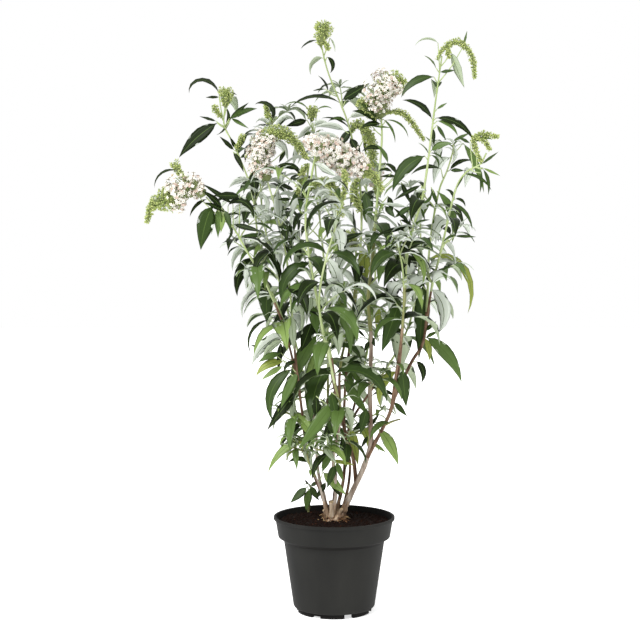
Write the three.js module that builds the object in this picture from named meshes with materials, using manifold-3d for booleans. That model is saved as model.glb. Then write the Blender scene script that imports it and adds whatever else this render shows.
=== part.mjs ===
// A butterfly bush in its nursery pot: woody canes from one clump, leafy shoots and flower heads.
// Millimetres, +Z up. The origin is the middle of the pot's underside, and -Y is the front.
import * as THREE from 'three';
import { mergeVertices } from 'three/addons/utils/BufferGeometryUtils.js';
import Module from 'manifold-3d';

const wasm = await Module();
wasm.setup();

// Pot
const POT_HEIGHT = 165;
const RIM_RADIUS = 105;
const LIP_HEIGHT = 5;
const BAND_TOP_RADIUS = 102;
const BAND_LOW_RADIUS = 97;
const BAND_LOW_Z = 130;
const SHOULDER_RADIUS = 87.5;
const SHOULDER_Z = 124;
const BASE_RADIUS = 70.5;
const BASE_Z = 8;
const RING_RADIUS = 65;
const RING_WIDTH = 7;
const WALL = 1.8;
const FLOOR_Z = 10;
const BOSS_RADIUS = 16;
const POT_SIDES = 36;
const FOOT_NOTCHES = 7;
const NOTCH_WIDTH = 16.5;
const NOTCH_TURN = -119;
const DRAIN_RADIUS = 5;
const DRAIN_CIRCLE = 46;

// Soil and clump
const GAP = 0.3;
const SOIL_EDGE_Z = 156;
const SOIL_TOP_Z = 160;
const SOIL_FLAT_RADIUS = 34;
const SOIL_BEND = 0.7;
const SOIL_BANK = 3.5;
const CLUMP_RADIUS = 21;
const CLUMP_HEIGHT = 16;
const CLUMP_SIDES = 12;
const STUB_RADIUS = 5;
const STUB_LENGTH = 27;
const STUBS = [[120, 66], [250, 74]];

// Wood and leaves
const LIMB_SIDES = 6;
const LIMB_STEP = 42;
const TWIG_STEP = 55;
const TWIG_TAPER = 0.45;
const HEAD_SINK = 5;
const INTERNODE_LOW = 62;
const INTERNODE_TOP = 40;
const LOW_INTERNODE = 17;
const FIRST_NODE = 14;
const LEAF_ASPECT = 0.145;
const TWIG_LEAF_ASPECT = 0.12;
const WIDEST_ASPECT = 0.19;
const LEAF_THICKNESS = 0.02;
const LEAF_STATIONS = [0.3, 0.68];
const LEAF_WIDTHS = [1, 0.78];
const SPACE_MARGIN = 2.5;
const LIMB_MARGIN = 3;
const SAMPLE_STEP = 6;
const SIDE_TWIG_ODDS = 0.7;
const SIDE_TWIG_LENGTH = 58;
const SIDE_TWIG_RADIUS = 1.5;
const SIDE_LEAF_SHARE = 0.62;
const PAIR_SPREAD = 36;
const LENGTH_SPREAD = [0.8, 1.14];
const RISE_SPREAD = [-6, 46];
const FALL_SPREAD = 22;
const RISE_WITH_HEIGHT = 0.05;
const LEVEL_HEIGHT = 520;
const FITTED_SHARES = [1, 0.85, 0.7, 0.58];

// The front view: its camera and the bends that its leaves are worked out from
const CAMERA_AWAY = 2300;
const CAMERA_HEIGHT = 615;
const CAMERA_SIDE = -24.6;
const CAMERA_TILT = 2.735;
const VIEW_WIDTH = 640;
const VIEW_FOCUS = 1335;
const BEND_LEAST = -150;
const BEND_MOST = 210;
const BEND_STEP = 6;
const BEND_SPANS = 24;
const UNEVEN_BENDS = [0.5, 0.7, 1, 1.4, 2];
const DRAWN_FROM = 0.62;
const ACROSS = 0.6;
const BACKWARD = 0.25;
const ACROSS_ODDS = 0.3;
const SHOWN_SLACK = 0.27;
const ROOT_SLACK = 9;
const TIP_SLACK = 12;

const COLOURS = {
  pot: ['#3a3a37', 0.55],
  soil: ['#2b1d15', 0.95],
  bark: ['#9a8570', 0.85],
  leaf: ['#48673c', 0.6],
};

// Each shoot climbs from the clump, or from `from` at the fraction `at` of that shoot's length,
// through `via` to its tip. `bare` is the woody share below its leaves. `leaf` gives the leaf length
// low and high, `turn` the first pair's azimuth and `droop` how far the tips hang below level.
// `head` is [length, radius, azimuth, first elevation, last elevation] of its flower head.
const SHOOTS = [
  {
    name: 'right', start: [11, -5, 165], bare: 0.47, radii: [4.8, 1.4], leaf: [109, 88], turn: 20,
    droop: 62,
    via: [
      [31, -8, 208], [46, -8, 239], [58, -10, 272], [63, -12, 302], [61, -18, 394], [63, -20, 472],
      [58, -10, 540], [65, 0, 605], [76, 22, 730], [83, 36, 817], [82, 42, 857],
    ],
  },
  {
    name: 'far_right', from: 'right', at: 0.16, bare: 0.3, radii: [3.3, 1.1], leaf: [114, 81], turn: 75,
    droop: 66,
    via: [
      [96, -25, 350], [108, -36, 418], [116, -45, 507], [119, -50, 567], [123, -50, 632], [147, -46, 710],
      [159, -42, 789], [167, -38, 853], [176, -33, 918], [181, -30, 952],
    ],
  },
  {
    name: 'right_green', from: 'far_right', at: 0.17, bare: 0.36, radii: [2.8, 1.2], leaf: [112, 74],
    turn: 40, droop: 60,
    via: [
      [134, -10, 435], [152, 10, 460], [160, 25, 495], [165, 45, 565], [167, 52, 617], [176, 55, 687],
      [188, 52, 742], [200, 48, 769], [210, 45, 809],
    ],
  },
  {
    name: 'outer_right', from: 'right_green', at: 0.3, bare: 0.22, radii: [2.2, 1.2], leaf: [104, 65],
    turn: 110, droop: 62,
    via: [
      [167, -20, 566], [177, -40, 612], [186, -60, 659], [194, -70, 699], [204, -78, 735], [220, -82, 756],
      [243, -86, 769], [250, -86, 785],
    ],
  },
  {
    name: 'centre', from: 'right', at: 0.09, bare: 0.5, radii: [3.1, 1.6], leaf: [104, 74], turn: 0,
    droop: 70,
    via: [
      [33, 2, 265], [24, 10, 292], [16, 18, 323], [10, 28, 362], [12, 40, 429], [33, 50, 520],
      [39, 50, 622],
    ],
  },
  {
    name: 'centre_left', from: 'centre', at: 0.26, bare: 0.2, radii: [2.8, 1.5], leaf: [114, 86], turn: 60,
    droop: 72,
    via: [
      [-2, 0, 401], [-9, -10, 440], [-21, -20, 486], [-30, -30, 541], [-40, -42, 595], [-48, -52, 667],
      [-48, -58, 722], [-43, -62, 770],
    ],
  },
  {
    name: 'front', from: 'centre_left', at: 0.12, bare: 0.16, radii: [2.8, 1.4], leaf: [109, 84], turn: 15,
    droop: 66,
    via: [
      [-7, -24, 449], [-19, -39, 489], [-28, -58, 536], [-38, -78, 589], [-46, -96, 642], [-48, -108, 687],
      [-39, -117, 742], [-29, -112, 796],
    ],
  },
  {
    name: 'left', start: [-8, -6, 165], bare: 0.56, radii: [2.9, 1.3], leaf: [104, 84], turn: 35,
    droop: 70,
    via: [
      [-21, -10, 203], [-31, -15, 230], [-42, -21, 260], [-50, -27, 301], [-54, -32, 339], [-62, -39, 405],
      [-69, -43, 473], [-74, -45, 541], [-82, -43, 617], [-97, -38, 685], [-113, -35, 740],
    ],
  },
  {
    name: 'upper_left', from: 'left', at: 0.42, bare: 0.16, radii: [2.1, 1.2], leaf: [109, 81], turn: 80,
    droop: 58,
    via: [
      [-93, -20, 520], [-118, 5, 574], [-131, 25, 634], [-144, 45, 727], [-170, 55, 798], [-195, 60, 851],
      [-191, 60, 880],
    ],
  },
  {
    name: 'outer_left', from: 'upper_left', at: 0.2, bare: 0.16, radii: [2, 1.2], leaf: [109, 79],
    turn: 10, droop: 62,
    via: [
      [-118, -56, 574], [-141, -76, 614], [-170, -84, 665], [-197, -86, 695], [-213, -86, 713],
    ],
  },
  {
    name: 'tall', start: [3, 9, 165], bare: 0.34, radii: [2.9, 1.2], leaf: [112, 77], turn: 50, droop: 64,
    via: [
      [16, 18, 221], [18, 28, 247], [21, 38, 278], [18, 52, 325], [20, 66, 377], [24, 78, 421],
      [45, 98, 590], [49, 96, 715], [32, 82, 826], [11, 70, 885], [-9, 58, 932], [-23, 45, 984],
    ],
  },
  {
    name: 'back_left', start: [-11, 5, 165], bare: 0.34, radii: [2.6, 1.2], leaf: [112, 84], turn: 65,
    droop: 68, head: [44, 8, 120, 84, 50],
    via: [
      [-18, 14, 200], [-26, 24, 227], [-30, 36, 260], [-32, 52, 308], [-44, 72, 361], [-84, 124, 518],
      [-124, 156, 659], [-134, 164, 770], [-116, 162, 858],
    ],
  },
  {
    name: 'back', start: [-3, 12, 165], bare: 0.3, radii: [2.6, 1.2], leaf: [112, 79], turn: 30, droop: 66,
    via: [
      [3, 24, 227], [-2, 40, 256], [-5, 62, 288], [-10, 90, 323], [-12, 168, 535], [-30, 190, 737],
      [-38, 182, 862],
    ],
  },
  {
    name: 'back_right', start: [13, 3, 165], bare: 0.36, radii: [2.6, 1.2], leaf: [112, 81], turn: 0,
    droop: 66, head: [100, 17, 70, 30, -72],
    via: [
      [26, 20, 220], [28, 40, 256], [25, 66, 300], [62, 132, 445], [78, 178, 608], [58, 196, 768],
    ],
  },
  {
    name: 'rear_side', from: 'back_right', at: 0.27, bare: 0.26, radii: [2.3, 1.2], leaf: [109, 79],
    turn: 45, droop: 64, head: [44, 7, 60, 80, 55],
    via: [
      [130, 130, 470], [158, 158, 600], [160, 165, 712],
    ],
  },
  {
    name: 'low_front', start: [-2, -10, 165], bare: 0.34, radii: [2.5, 1.2], leaf: [114, 81], turn: 70,
    droop: 70,
    via: [
      [3, -24, 217], [-2, -40, 263], [4, -56, 308], [11, -72, 354], [0, -90, 401], [-11, -108, 458],
      [-21, -122, 498], [-26, -138, 544], [-20, -152, 590], [-9, -166, 631], [2, -178, 669],
      [12, -188, 704],
    ],
  },
  {
    name: 'front_right', from: 'far_right', at: 0.14, bare: 0.5, radii: [2.4, 1.2], leaf: [104, 77],
    turn: 25, droop: 68,
    via: [
      [104, -44, 414], [108, -60, 446], [111, -73, 476], [113, -84, 512], [114, -94, 559],
      [110, -102, 602], [100, -108, 642],
    ],
  },
];

// The larger leaves that show in the front view, whose units are 1/640 of its width: the root, a point half
// way along, the tip and the width, then how far the bearing leans and the face turns to the front.
const SHOWN_LEAVES = {
  upper_left: [
    [219, 92, 204, 82, 193, 88, 4, 10, 25], [217, 124, 196, 136, 181, 158, 13, 15, 72],
    [226, 107, 230, 121, 216, 135, 4, 10, 45], [229, 119, 243, 110, 258, 110, 8, 20, 60],
    [230, 118, 239, 110, 249, 103, 5, 10, 60], [253, 168, 256, 186, 256, 205, 10, 70, 20],
    [262, 234, 247, 236, 233, 240, 6, 20, 60], [262, 249, 243, 245, 233, 271, 8, 10, -60],
    [256, 258, 238, 272, 238, 296, 12, 35, 72], [258, 192, 269, 205, 253, 223, 6, 10, -50],
    [261, 249, 277, 260, 279, 290, 6, 15, 45], [270, 320, 252, 328, 252, 355, 3.5, 10, 40],
    [277, 297, 280, 317, 259, 331, 4, 10, 45], [266, 278, 269, 300, 267, 323, 19, 75, 10],
    [262, 288, 247, 293, 243, 318, 5, 10, -45], [286, 335, 268, 337, 252, 365, 13, 10, -60],
    [284, 362, 267, 361, 256, 376, 6, 10, 55], [281, 342, 279, 357, 278, 372, 6, 50, 60],
    [283, 340, 270, 345, 262, 360, 8, 10, -60],
  ],
  outer_left: [
    [207, 199, 195, 205, 190, 217, 4, 10, 50], [240, 196, 228, 194, 214, 196, 9, 20, 60],
    [233, 204, 218, 193, 203, 184, 6, 10, 50], [228, 206, 243, 199, 254, 219, 8, 10, 55],
    [229, 218, 243, 205, 253, 218, 9, -20, -60], [213, 207, 202, 228, 204, 249, 15, 55, 60],
    [219, 206, 216, 222, 218, 238, 8, 55, 30], [233, 224, 248, 227, 263, 232, 6, 20, 60],
  ],
  left: [
    [291, 322, 284, 328, 281, 338, 8, 15, -60], [278, 186, 276, 212, 281, 238, 10, 40, -70],
    [291, 313, 293, 332, 294, 351, 9, 55, -150], [293, 369, 271, 382, 273, 421, 12, 15, 62],
    [297, 391, 284, 405, 267, 430, 11, 15, 65], [292, 394, 292, 410, 292, 425, 6, 40, -150],
    [304, 423, 288, 430, 281, 448, 7.5, 10, 62], [313, 438, 282, 447, 268, 472, 9, 15, 60],
    [323, 472, 335, 482, 346, 493, 10, 30, 65], [308, 440, 309, 454, 310, 468, 7, 45, -150],
  ],
  centre_left: [
    [297, 236, 291, 210, 280, 213, 4, 10, 40], [300, 176, 290, 164, 275, 169, 5, 10, 50],
    [312, 193, 335, 200, 325, 235, 10, 10, -55], [313, 182, 301, 194, 289, 206, 13, 25, 70],
    [311, 263, 286, 271, 284, 305, 14, 15, 52], [313, 306, 316, 320, 318, 334, 14, 65, 30],
    [312, 322, 306, 336, 301, 351, 14, 55, 50], [318, 334, 298, 357, 290, 390, 15, 20, 68],
    [319, 348, 310, 372, 304, 397, 12, 30, 65], [338, 400, 317, 423, 298, 447, 15, 35, 70],
  ],
  tall: [
    [345, 131, 330, 124, 313, 129, 6, 15, -60], [341, 140, 322, 133, 303, 141, 5, 15, -55],
    [340, 103, 316, 95, 291, 108, 5, 10, 40], [342, 100, 355, 92, 369, 85, 12, 25, 75],
    [350, 129, 338, 119, 321, 119, 2.8, 10, 40], [365, 192, 369, 207, 370, 222, 13, 65, 30],
    [362, 210, 373, 222, 383, 235, 10, 35, 65], [363, 246, 365, 266, 366, 285, 12, 70, 10],
    [350, 364, 358, 377, 366, 391, 9, 25, 60],
  ],
  back: [
    [309, 111, 298, 102, 285, 106, 2.2, 10, 40], [307, 120, 296, 123, 286, 127, 8, 20, 65],
  ],
  back_left: [
    [266, 127, 255, 135, 247, 149, 4, 10, -50],
  ],
  far_right: [
    [452, 52, 458, 72, 466, 90, 4, 20, -50], [434, 77, 417, 77, 401, 98, 8.5, 10, 60],
    [432, 119, 422, 103, 403, 100, 6, 10, 50], [436, 118, 455, 119, 473, 141, 8.5, 10, 60],
    [437, 121, 450, 124, 457, 137, 5, 20, 60], [425, 156, 403, 165, 392, 192, 14, 15, 65],
    [408, 226, 391, 230, 375, 235, 5, 20, 50], [421, 185, 403, 194, 393, 201, 5, 20, 50],
    [401, 182, 406, 193, 411, 205, 5, 30, 60], [407, 207, 393, 204, 378, 203, 4, 20, -50],
    [400, 300, 389, 325, 381, 351, 17, 50, 62], [408, 249, 423, 260, 422, 284, 7.5, 20, 55],
    [401, 369, 404, 387, 405, 406, 11, 50, 40], [397, 371, 380, 381, 380, 406, 10, 15, 60],
    [395, 397, 383, 390, 371, 396, 4, 10, 50], [379, 430, 390, 441, 397, 464, 10, 15, 58],
  ],
  right_green: [
    [463, 143, 475, 160, 483, 193, 7.5, 25, 62], [441, 169, 427, 165, 411, 175, 5, 10, 45],
    [437, 191, 453, 210, 451, 244, 9, 20, 60], [424, 282, 419, 320, 418, 359, 16, 65, 30],
    [420, 282, 411, 293, 402, 304, 3.5, 10, -40], [428, 261, 460, 264, 467, 313, 9, 10, 50],
    [427, 265, 438, 272, 448, 280, 2.6, 10, 45], [426, 338, 446, 350, 460, 381, 11, 15, 60],
  ],
  outer_right: [
    [464, 174, 479, 176, 491, 191, 4, 10, 50], [453, 203, 466, 211, 472, 230, 4.5, 10, 50],
    [431, 292, 450, 303, 440, 332, 17, 20, -68],
  ],
  right: [
    [378, 124, 366, 112, 352, 112, 7, 15, 62], [380, 121, 368, 106, 357, 103, 6, 15, 62],
    [371, 418, 362, 426, 352, 430, 9, 15, 60], [383, 119, 392, 128, 395, 143, 3, 10, 40],
    [386, 120, 401, 124, 408, 138, 2.6, 10, 40], [361, 296, 358, 309, 357, 322, 9, 50, -150],
    [367, 408, 364, 421, 360, 434, 12, 40, 60],
  ],
  front: [
    [340, 240, 352, 236, 364, 233, 6, 20, 50], [325, 257, 341, 279, 332, 306, 13, 15, -60],
    [333, 302, 349, 322, 350, 354, 12, 25, 60],
  ],
  centre: [
    [354, 256, 342, 251, 331, 258, 8, 10, 55], [340, 356, 359, 364, 377, 373, 7, 15, 55],
    [343, 379, 356, 397, 369, 416, 10, 25, 60], [351, 428, 355, 446, 358, 465, 10, 50, 45],
  ],
  front_right: [
    [400, 247, 383, 251, 371, 269, 3.5, 10, 45],
  ],
  low_front: [
    [342, 434, 344, 447, 335, 458, 6, 15, 50], [334, 420, 326, 428, 323, 438, 9, 25, 60],
    [330, 452, 325, 462, 322, 472, 8, 30, 60], [316, 396, 317, 408, 317, 421, 10, 65, 10],
    [331, 392, 335, 406, 337, 420, 11, 60, 10], [331, 460, 343, 462, 355, 464, 4, 15, 55],
  ],
  sucker: [
    [307, 487, 298, 495, 290, 503, 8, 10, 62], [309, 489, 307, 500, 306, 511, 9, 50, 50],
    [310, 486, 315, 493, 319, 500, 8, 30, 60], [309, 485, 307, 482, 304, 479, 6, 20, 60],
    [310, 486, 315, 483, 321, 480, 7, 20, 60],
  ],
};
// The shoots whose upper parts those leaves draw in full.
const DRAWN_TOPS = [
  'upper_left', 'outer_left', 'tall', 'far_right', 'right_green', 'outer_right', 'right',
];

// The flower heads in the front view: points along each as [across, down, depth, width].
const PLUMES = {
  outer_left: [
    [
      [206, 195, -86, 16], [193, 189, -88, 34], [178, 195, -92, 29], [161, 201, -94, 16],
      [151, 207, -92, 9], [147, 222, -88, 4],
    ],
    [[193, 189, -88, 5], [180, 173, -80, 8], [174, 164, -74, 10]],
  ],
  left: [
    [
      [269, 181, -35, 18], [262, 166, -34, 27], [263, 147, -32, 23], [270, 135, -32, 15],
      [283, 133, -34, 13], [296, 143, -36, 9], [307, 159, -38, 4],
    ],
  ],
  front: [
    [
      [305, 138, -100, 14], [318, 146, -112, 30], [340, 157, -118, 28], [357, 166, -120, 18],
      [372, 175, -120, 9], [383, 190, -118, 4],
    ],
  ],
  right: [
    [[381, 119, 42, 20], [379, 104, 42, 35], [385, 90, 40, 30], [395, 80, 38, 17], [405, 84, 36, 6]],
    [[380, 114, 42, 4], [390, 112, 40, 6], [402, 113, 38, 8], [413, 124, 36, 6], [424, 140, 34, 3]],
    [[381, 118, 42, 5], [371, 115, 42, 11], [364, 106, 42, 12], [361, 99, 42, 7]],
  ],
  far_right: [
    [
      [441, 53, -30, 4], [448, 46, -30, 7], [458, 42, -30, 8], [467, 48, -32, 6], [473, 60, -33, 6],
      [475, 78, -34, 3],
    ],
    [[450, 46, -30, 3], [452, 55, -34, 5], [455, 63, -36, 3]],
    [[462, 44, -30, 3], [468, 38, -28, 3], [467, 31, -26, 2]],
  ],
  outer_right: [
    [[482, 164, -86, 4], [476, 148, -86, 6], [474, 135, -86, 7], [484, 130, -88, 6], [498, 134, -90, 4]],
    [[474, 138, -86, 4], [484, 141, -88, 5], [490, 150, -88, 3]],
  ],
  tall: [
    [[321, 47, 45, 8], [321, 41, 45, 15], [323, 33, 45, 18], [323, 24, 45, 12]],
    [[322, 41, 45, 5], [327, 45, 42, 6], [328, 50, 40, 4]],
    [[350, 134, 88, 5], [355, 125, 84, 9], [366, 131, 80, 10], [372, 146, 76, 9], [373, 167, 74, 5]],
  ],
  upper_left: [
    [[225, 108, 60, 9], [226, 99, 60, 16], [226, 90, 60, 11]],
    [[222, 118, 60, 5], [217, 112, 58, 7], [214, 106, 56, 5]],
    [[236, 150, 54, 4], [240, 142, 50, 7], [243, 135, 48, 5]],
  ],
  centre_left: [
    [[308, 163, -62, 6], [303, 172, -66, 9], [300, 186, -68, 8], [299, 202, -68, 4]],
    [[307, 190, -62, 5], [326, 180, -68, 9], [337, 196, -72, 9], [341, 216, -72, 5]],
  ],
  centre: [
    [[356, 250, 50, 8], [352, 240, 46, 18], [350, 232, 44, 10]],
  ],
  back: [
    [[312, 122, 182, 7], [312, 115, 182, 13], [313, 107, 182, 8]],
  ],
  low_front: [
    [[343, 200, -188, 5], [345, 184, -190, 9], [344, 170, -190, 5]],
  ],
};

// The crown's outline in the front view as [down, left, right], and its gaps as [across, down, radius].
const REACH = [
  [20, 313, 332], [52, 300, 478], [84, 190, 478], [120, 186, 500], [160, 160, 500], [200, 146, 494],
  [240, 195, 475], [262, 230, 475], [300, 238, 474], [340, 246, 456], [380, 258, 462], [402, 268, 412],
  [440, 266, 400], [470, 266, 398], [500, 290, 362],
];
const SKY = [
  [378, 24, 48], [272, 68, 36], [230, 68, 20], [213, 168, 18], [440, 24, 18], [480, 112, 16],
  [460, 98, 12], [164, 234, 20], [214, 262, 15], [465, 248, 13], [484, 208, 13], [464, 322, 13],
  [440, 392, 22], [401, 427, 12], [382, 474, 17], [284, 478, 16], [266, 441, 11], [366, 350, 10],
  [387, 353, 12], [404, 147, 9], [343, 69, 9],
];

// Short leafy side shoots low on the canes: [name, cane, fraction, azimuth, length, leaf length, turn].
const LOW_SHOOTS = [
  ['low_left', 'left', 0.3, 170, 46, 92, 60],
  ['low_left_front', 'left', 0.2, 225, 40, 88, 10],
  ['low_centre', 'centre', 0.16, 250, 42, 78, 80],
  ['low_right', 'far_right', 0.09, 330, 34, 76, 30],
  ['low_right_inner', 'right', 0.33, 285, 38, 72, 60],
  ['low_back_left', 'back_left', 0.2, 130, 46, 84, 20],
  ['low_back', 'back', 0.2, 80, 46, 84, 70],
  ['low_back_right', 'back_right', 0.22, 20, 46, 84, 0],
  ['low_front_left', 'low_front', 0.2, 215, 44, 84, 45],
];

// The sucker beside the clump, from its foot on the soil up, and the short side cane.
const SUCKER_RADIUS = 1.8;
const SUCKER = [[-46, 62], [-42, 56, 186], [-41, 52, 208]];
const SIDE_CANE = {
  start: [-11, -12, 165],
  via: [[-26, -26, 223], [-42, -38, 258], [-47, -44, 281]],
  bare: 0.62,
  radii: [2.6, 1.4],
};

const rad = THREE.MathUtils.degToRad;
const mix = THREE.MathUtils.lerp;

// The radius that the soil reaches at its edge, 0.6 mm inside the pot's wall.
const SOIL_EDGE_SHARE = (SOIL_EDGE_Z - BAND_LOW_Z) / (POT_HEIGHT - BAND_LOW_Z);
const SOIL_EDGE_RADIUS = mix(BAND_LOW_RADIUS, BAND_TOP_RADIUS, SOIL_EDGE_SHARE) - WALL - 2 * GAP;

// A repeatable number from 0 to 1 for one place on one shoot.
function chance(shoot, node, draw) {
  const wave = Math.sin(shoot * 12.9898 + node * 78.233 + draw * 37.719) * 43758.5453;
  return wave - Math.floor(wave);
}

function vector(point) {
  return new THREE.Vector3(...point);
}

function smoothPath(points) {
  return new THREE.CatmullRomCurve3(points, false, 'catmullrom', 0.5);
}

// The stretch of a path from one fraction of its length to another.
function stretch(path, from, to, count = 8) {
  const points = [];
  for (let step = 0; step <= count; step += 1) {
    points.push(path.getPointAt(mix(from, to, step / count)));
  }
  return smoothPath(points);
}

// A path that leaves `root` on one bearing while its slope turns from one elevation to another, evenly
// where `uneven` is 1.
function archPath(root, azimuth, length, rise, fall, uneven = 1, count = 6) {
  const points = [root.clone()];
  for (let step = 0; step < count; step += 1) {
    const slope = rad(mix(rise, fall, ((step + 0.5) / count) ** uneven));
    const run = Math.cos(slope) * length / count;
    const last = points[step];
    points.push(new THREE.Vector3(
      last.x + Math.cos(rad(azimuth)) * run,
      last.y + Math.sin(rad(azimuth)) * run,
      last.z + Math.sin(slope) * length / count,
    ));
  }
  return smoothPath(points);
}

// Where a point shows in the front view.
function frontView(point) {
  const tilt = rad(CAMERA_TILT);
  const back = point.y + CAMERA_AWAY;
  const up = point.z - CAMERA_HEIGHT;
  const ahead = back * Math.cos(tilt) - up * Math.sin(tilt);
  const down = -back * Math.sin(tilt) - up * Math.cos(tilt);
  return new THREE.Vector2(point.x - CAMERA_SIDE, down)
    .multiplyScalar(VIEW_FOCUS / ahead)
    .addScalar(VIEW_WIDTH / 2);
}

// The point at a depth that shows at a place of the front view.
function seenAt(across, down, depth) {
  const tilt = rad(CAMERA_TILT);
  const u = (across - VIEW_WIDTH / 2) / VIEW_FOCUS;
  const v = (down - VIEW_WIDTH / 2) / VIEW_FOCUS;
  const reach = (depth + CAMERA_AWAY) / (Math.cos(tilt) - v * Math.sin(tilt));
  const climb = -Math.sin(tilt) - v * Math.cos(tilt);
  return new THREE.Vector3(CAMERA_SIDE + u * reach, depth, CAMERA_HEIGHT + climb * reach);
}

// The half way point and the end of a line of length 1 that leaves level and bends down.
function bentLine(bend, uneven) {
  const end = new THREE.Vector2();
  const half = new THREE.Vector2();
  for (let step = 0; step < BEND_SPANS; step += 1) {
    const slope = -rad(bend) * ((step + 0.5) / BEND_SPANS) ** uneven;
    end.x += Math.cos(slope) / BEND_SPANS;
    end.y += Math.sin(slope) / BEND_SPANS;
    if (step === BEND_SPANS / 2 - 1) {
      half.copy(end);
    }
  }
  return { half, end };
}

// The length, slopes and unevenness of the bend from (0, 0) to `end` that comes nearest to `middle`.
function bentThrough(middle, end) {
  const centre = new THREE.Vector2();
  let best = { miss: Infinity };
  for (const uneven of UNEVEN_BENDS) {
    for (let bend = BEND_LEAST; bend <= BEND_MOST; bend += BEND_STEP) {
      const line = bentLine(bend, uneven);
      const length = end.length() / Math.max(line.end.length(), 0.2);
      const turn = end.angle() - line.end.angle();
      const half = line.half.rotateAround(centre, turn).multiplyScalar(length);
      const miss = half.distanceTo(middle) + 1.2 * Math.abs(rad(bend)) + 2 * Math.abs(Math.log(uneven));
      if (miss < best.miss) {
        const rise = THREE.MathUtils.radToDeg(turn);
        best = { miss, length, rise, fall: rise - bend, uneven };
      }
    }
  }
  return best;
}

// The share of a blade's width that shows from the front half way along it.
function shownPart(azimuth, slope, roll) {
  const way = new THREE.Vector3(Math.cos(rad(slope)), 0, Math.sin(rad(slope)));
  way.applyAxisAngle(new THREE.Vector3(0, 0, 1), rad(azimuth));
  const side = new THREE.Vector3(Math.sin(rad(azimuth)), -Math.cos(rad(azimuth)), 0);
  side.applyAxisAngle(way, -rad(roll));
  const flat = Math.max(1e-6, Math.hypot(way.x, way.z));
  return Math.max(0.4, Math.abs(side.x * way.z - side.z * way.x) / flat);
}

// Moves each point of a closed shape and merges what lies together.
function reshape(geometry, place) {
  geometry.deleteAttribute('normal');
  geometry.deleteAttribute('uv');
  const merged = mergeVertices(geometry, 1e-4);
  const position = merged.getAttribute('position');
  const point = new THREE.Vector3();
  for (let index = 0; index < position.count; index += 1) {
    point.fromBufferAttribute(position, index);
    const moved = place(point.x, point.y, point.z);
    position.setXYZ(index, moved.x, moved.y, moved.z);
  }
  return merged;
}

function solid(geometry) {
  const clean = geometry.clone();
  clean.deleteAttribute('normal');
  clean.deleteAttribute('uv');
  const merged = mergeVertices(clean, 1e-4);
  return new wasm.Manifold(new wasm.Mesh({
    numProp: 3,
    vertProperties: new Float32Array(merged.getAttribute('position').array),
    triVerts: new Uint32Array(merged.index.array),
  }));
}

function geometryOf(body) {
  const mesh = body.getMesh();
  const geometry = new THREE.BufferGeometry();
  geometry.setAttribute('position', new THREE.BufferAttribute(mesh.vertProperties, 3));
  geometry.setIndex(new THREE.BufferAttribute(mesh.triVerts, 1));
  geometry.computeVertexNormals();
  return geometry;
}

function largest(body) {
  const pieces = body.decompose();
  return pieces.reduce((best, piece) => (piece.volume() > best.volume() ? piece : best));
}

// A tapering round or many-sided limb along a path.
function limbGeometry(path, low, high, sides, steps) {
  const frames = path.computeFrenetFrames(steps, false);
  const points = path.getSpacedPoints(steps);
  return reshape(new THREE.CylinderGeometry(1, 1, 1, sides, steps), (x, y, z) => {
    const step = Math.round((y + 0.5) * steps);
    const radius = mix(low, high, step / steps);
    const third = new THREE.Vector3().crossVectors(frames.normals[step], frames.tangents[step]);
    const point = points[step].clone().addScaledVector(frames.normals[step], x * radius);
    return point.addScaledVector(third, z * radius);
  });
}

function steps(length, each) {
  return Math.max(2, Math.round(length / each));
}

function leafPath(leaf) {
  return archPath(leaf.root, leaf.azimuth, leaf.length, leaf.rise, leaf.fall, leaf.uneven);
}

// The direction across a blade at one share of its length, turned about its rib by its roll.
function acrossBlade(leaf, path, share) {
  const side = new THREE.Vector3(Math.sin(rad(leaf.azimuth)), -Math.cos(rad(leaf.azimuth)), 0);
  return side.applyAxisAngle(path.getTangent(share), -rad(leaf.roll));
}

// A blade of three sides: flat above, keeled below, pointed at both ends, bent twice as it arches.
function leafGeometry(leaf) {
  const path = leafPath(leaf);
  const width = leaf.length * leaf.aspect;
  const ring = Math.sin(Math.PI / 3);
  return reshape(new THREE.SphereGeometry(1, 3, 3), (x, y, z) => {
    if (Math.abs(y) > 0.9) {
      return path.getPoint(y > 0 ? 0 : 1);
    }
    const band = y > 0 ? 0 : 1;
    const side = acrossBlade(leaf, path, LEAF_STATIONS[band]);
    const over = new THREE.Vector3().crossVectors(side, path.getTangent(LEAF_STATIONS[band]));
    const across = z / ring / ring * width * LEAF_WIDTHS[band];
    const depth = (x / ring - 0.5) / 1.5 * leaf.length * LEAF_THICKNESS;
    return path.getPoint(LEAF_STATIONS[band]).addScaledVector(side, across).addScaledVector(over, depth);
  });
}

// A flower head: a plume whose rings swell and shrink by turns along its path.
function headGeometry({ path, radiusAt }) {
  const rings = 7;
  const frames = path.computeFrenetFrames(rings, false);
  return reshape(new THREE.SphereGeometry(1, 6, rings), (x, y, z) => {
    const step = Math.round(Math.acos(THREE.MathUtils.clamp(y, -1, 1)) / Math.PI * rings);
    const share = step / rings;
    const size = Math.hypot(x, z);
    const centre = path.getPointAt(share);
    if (size < 0.01) {
      return centre;
    }
    const plump = radiusAt(share) * (step % 2 ? 1 : 0.8);
    const third = new THREE.Vector3().crossVectors(frames.tangents[step], frames.normals[step]);
    centre.addScaledVector(frames.normals[step], x / size * plump);
    return centre.addScaledVector(third, z / size * plump);
  });
}

// A head that is given by its length, radius and slopes, its root sunk into the stem's tip.
function archedHead(mass) {
  const [length, radius, azimuth, rise, fall] = mass.head;
  const root = mass.stem.getPointAt(1).addScaledVector(mass.stem.getTangentAt(1), -HEAD_SINK);
  return {
    path: archPath(root, azimuth, length, rise, fall),
    radiusAt: (share) => radius * (share < 0.3 ? 0.85 : mix(1.08, 0.4, share)),
  };
}

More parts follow.
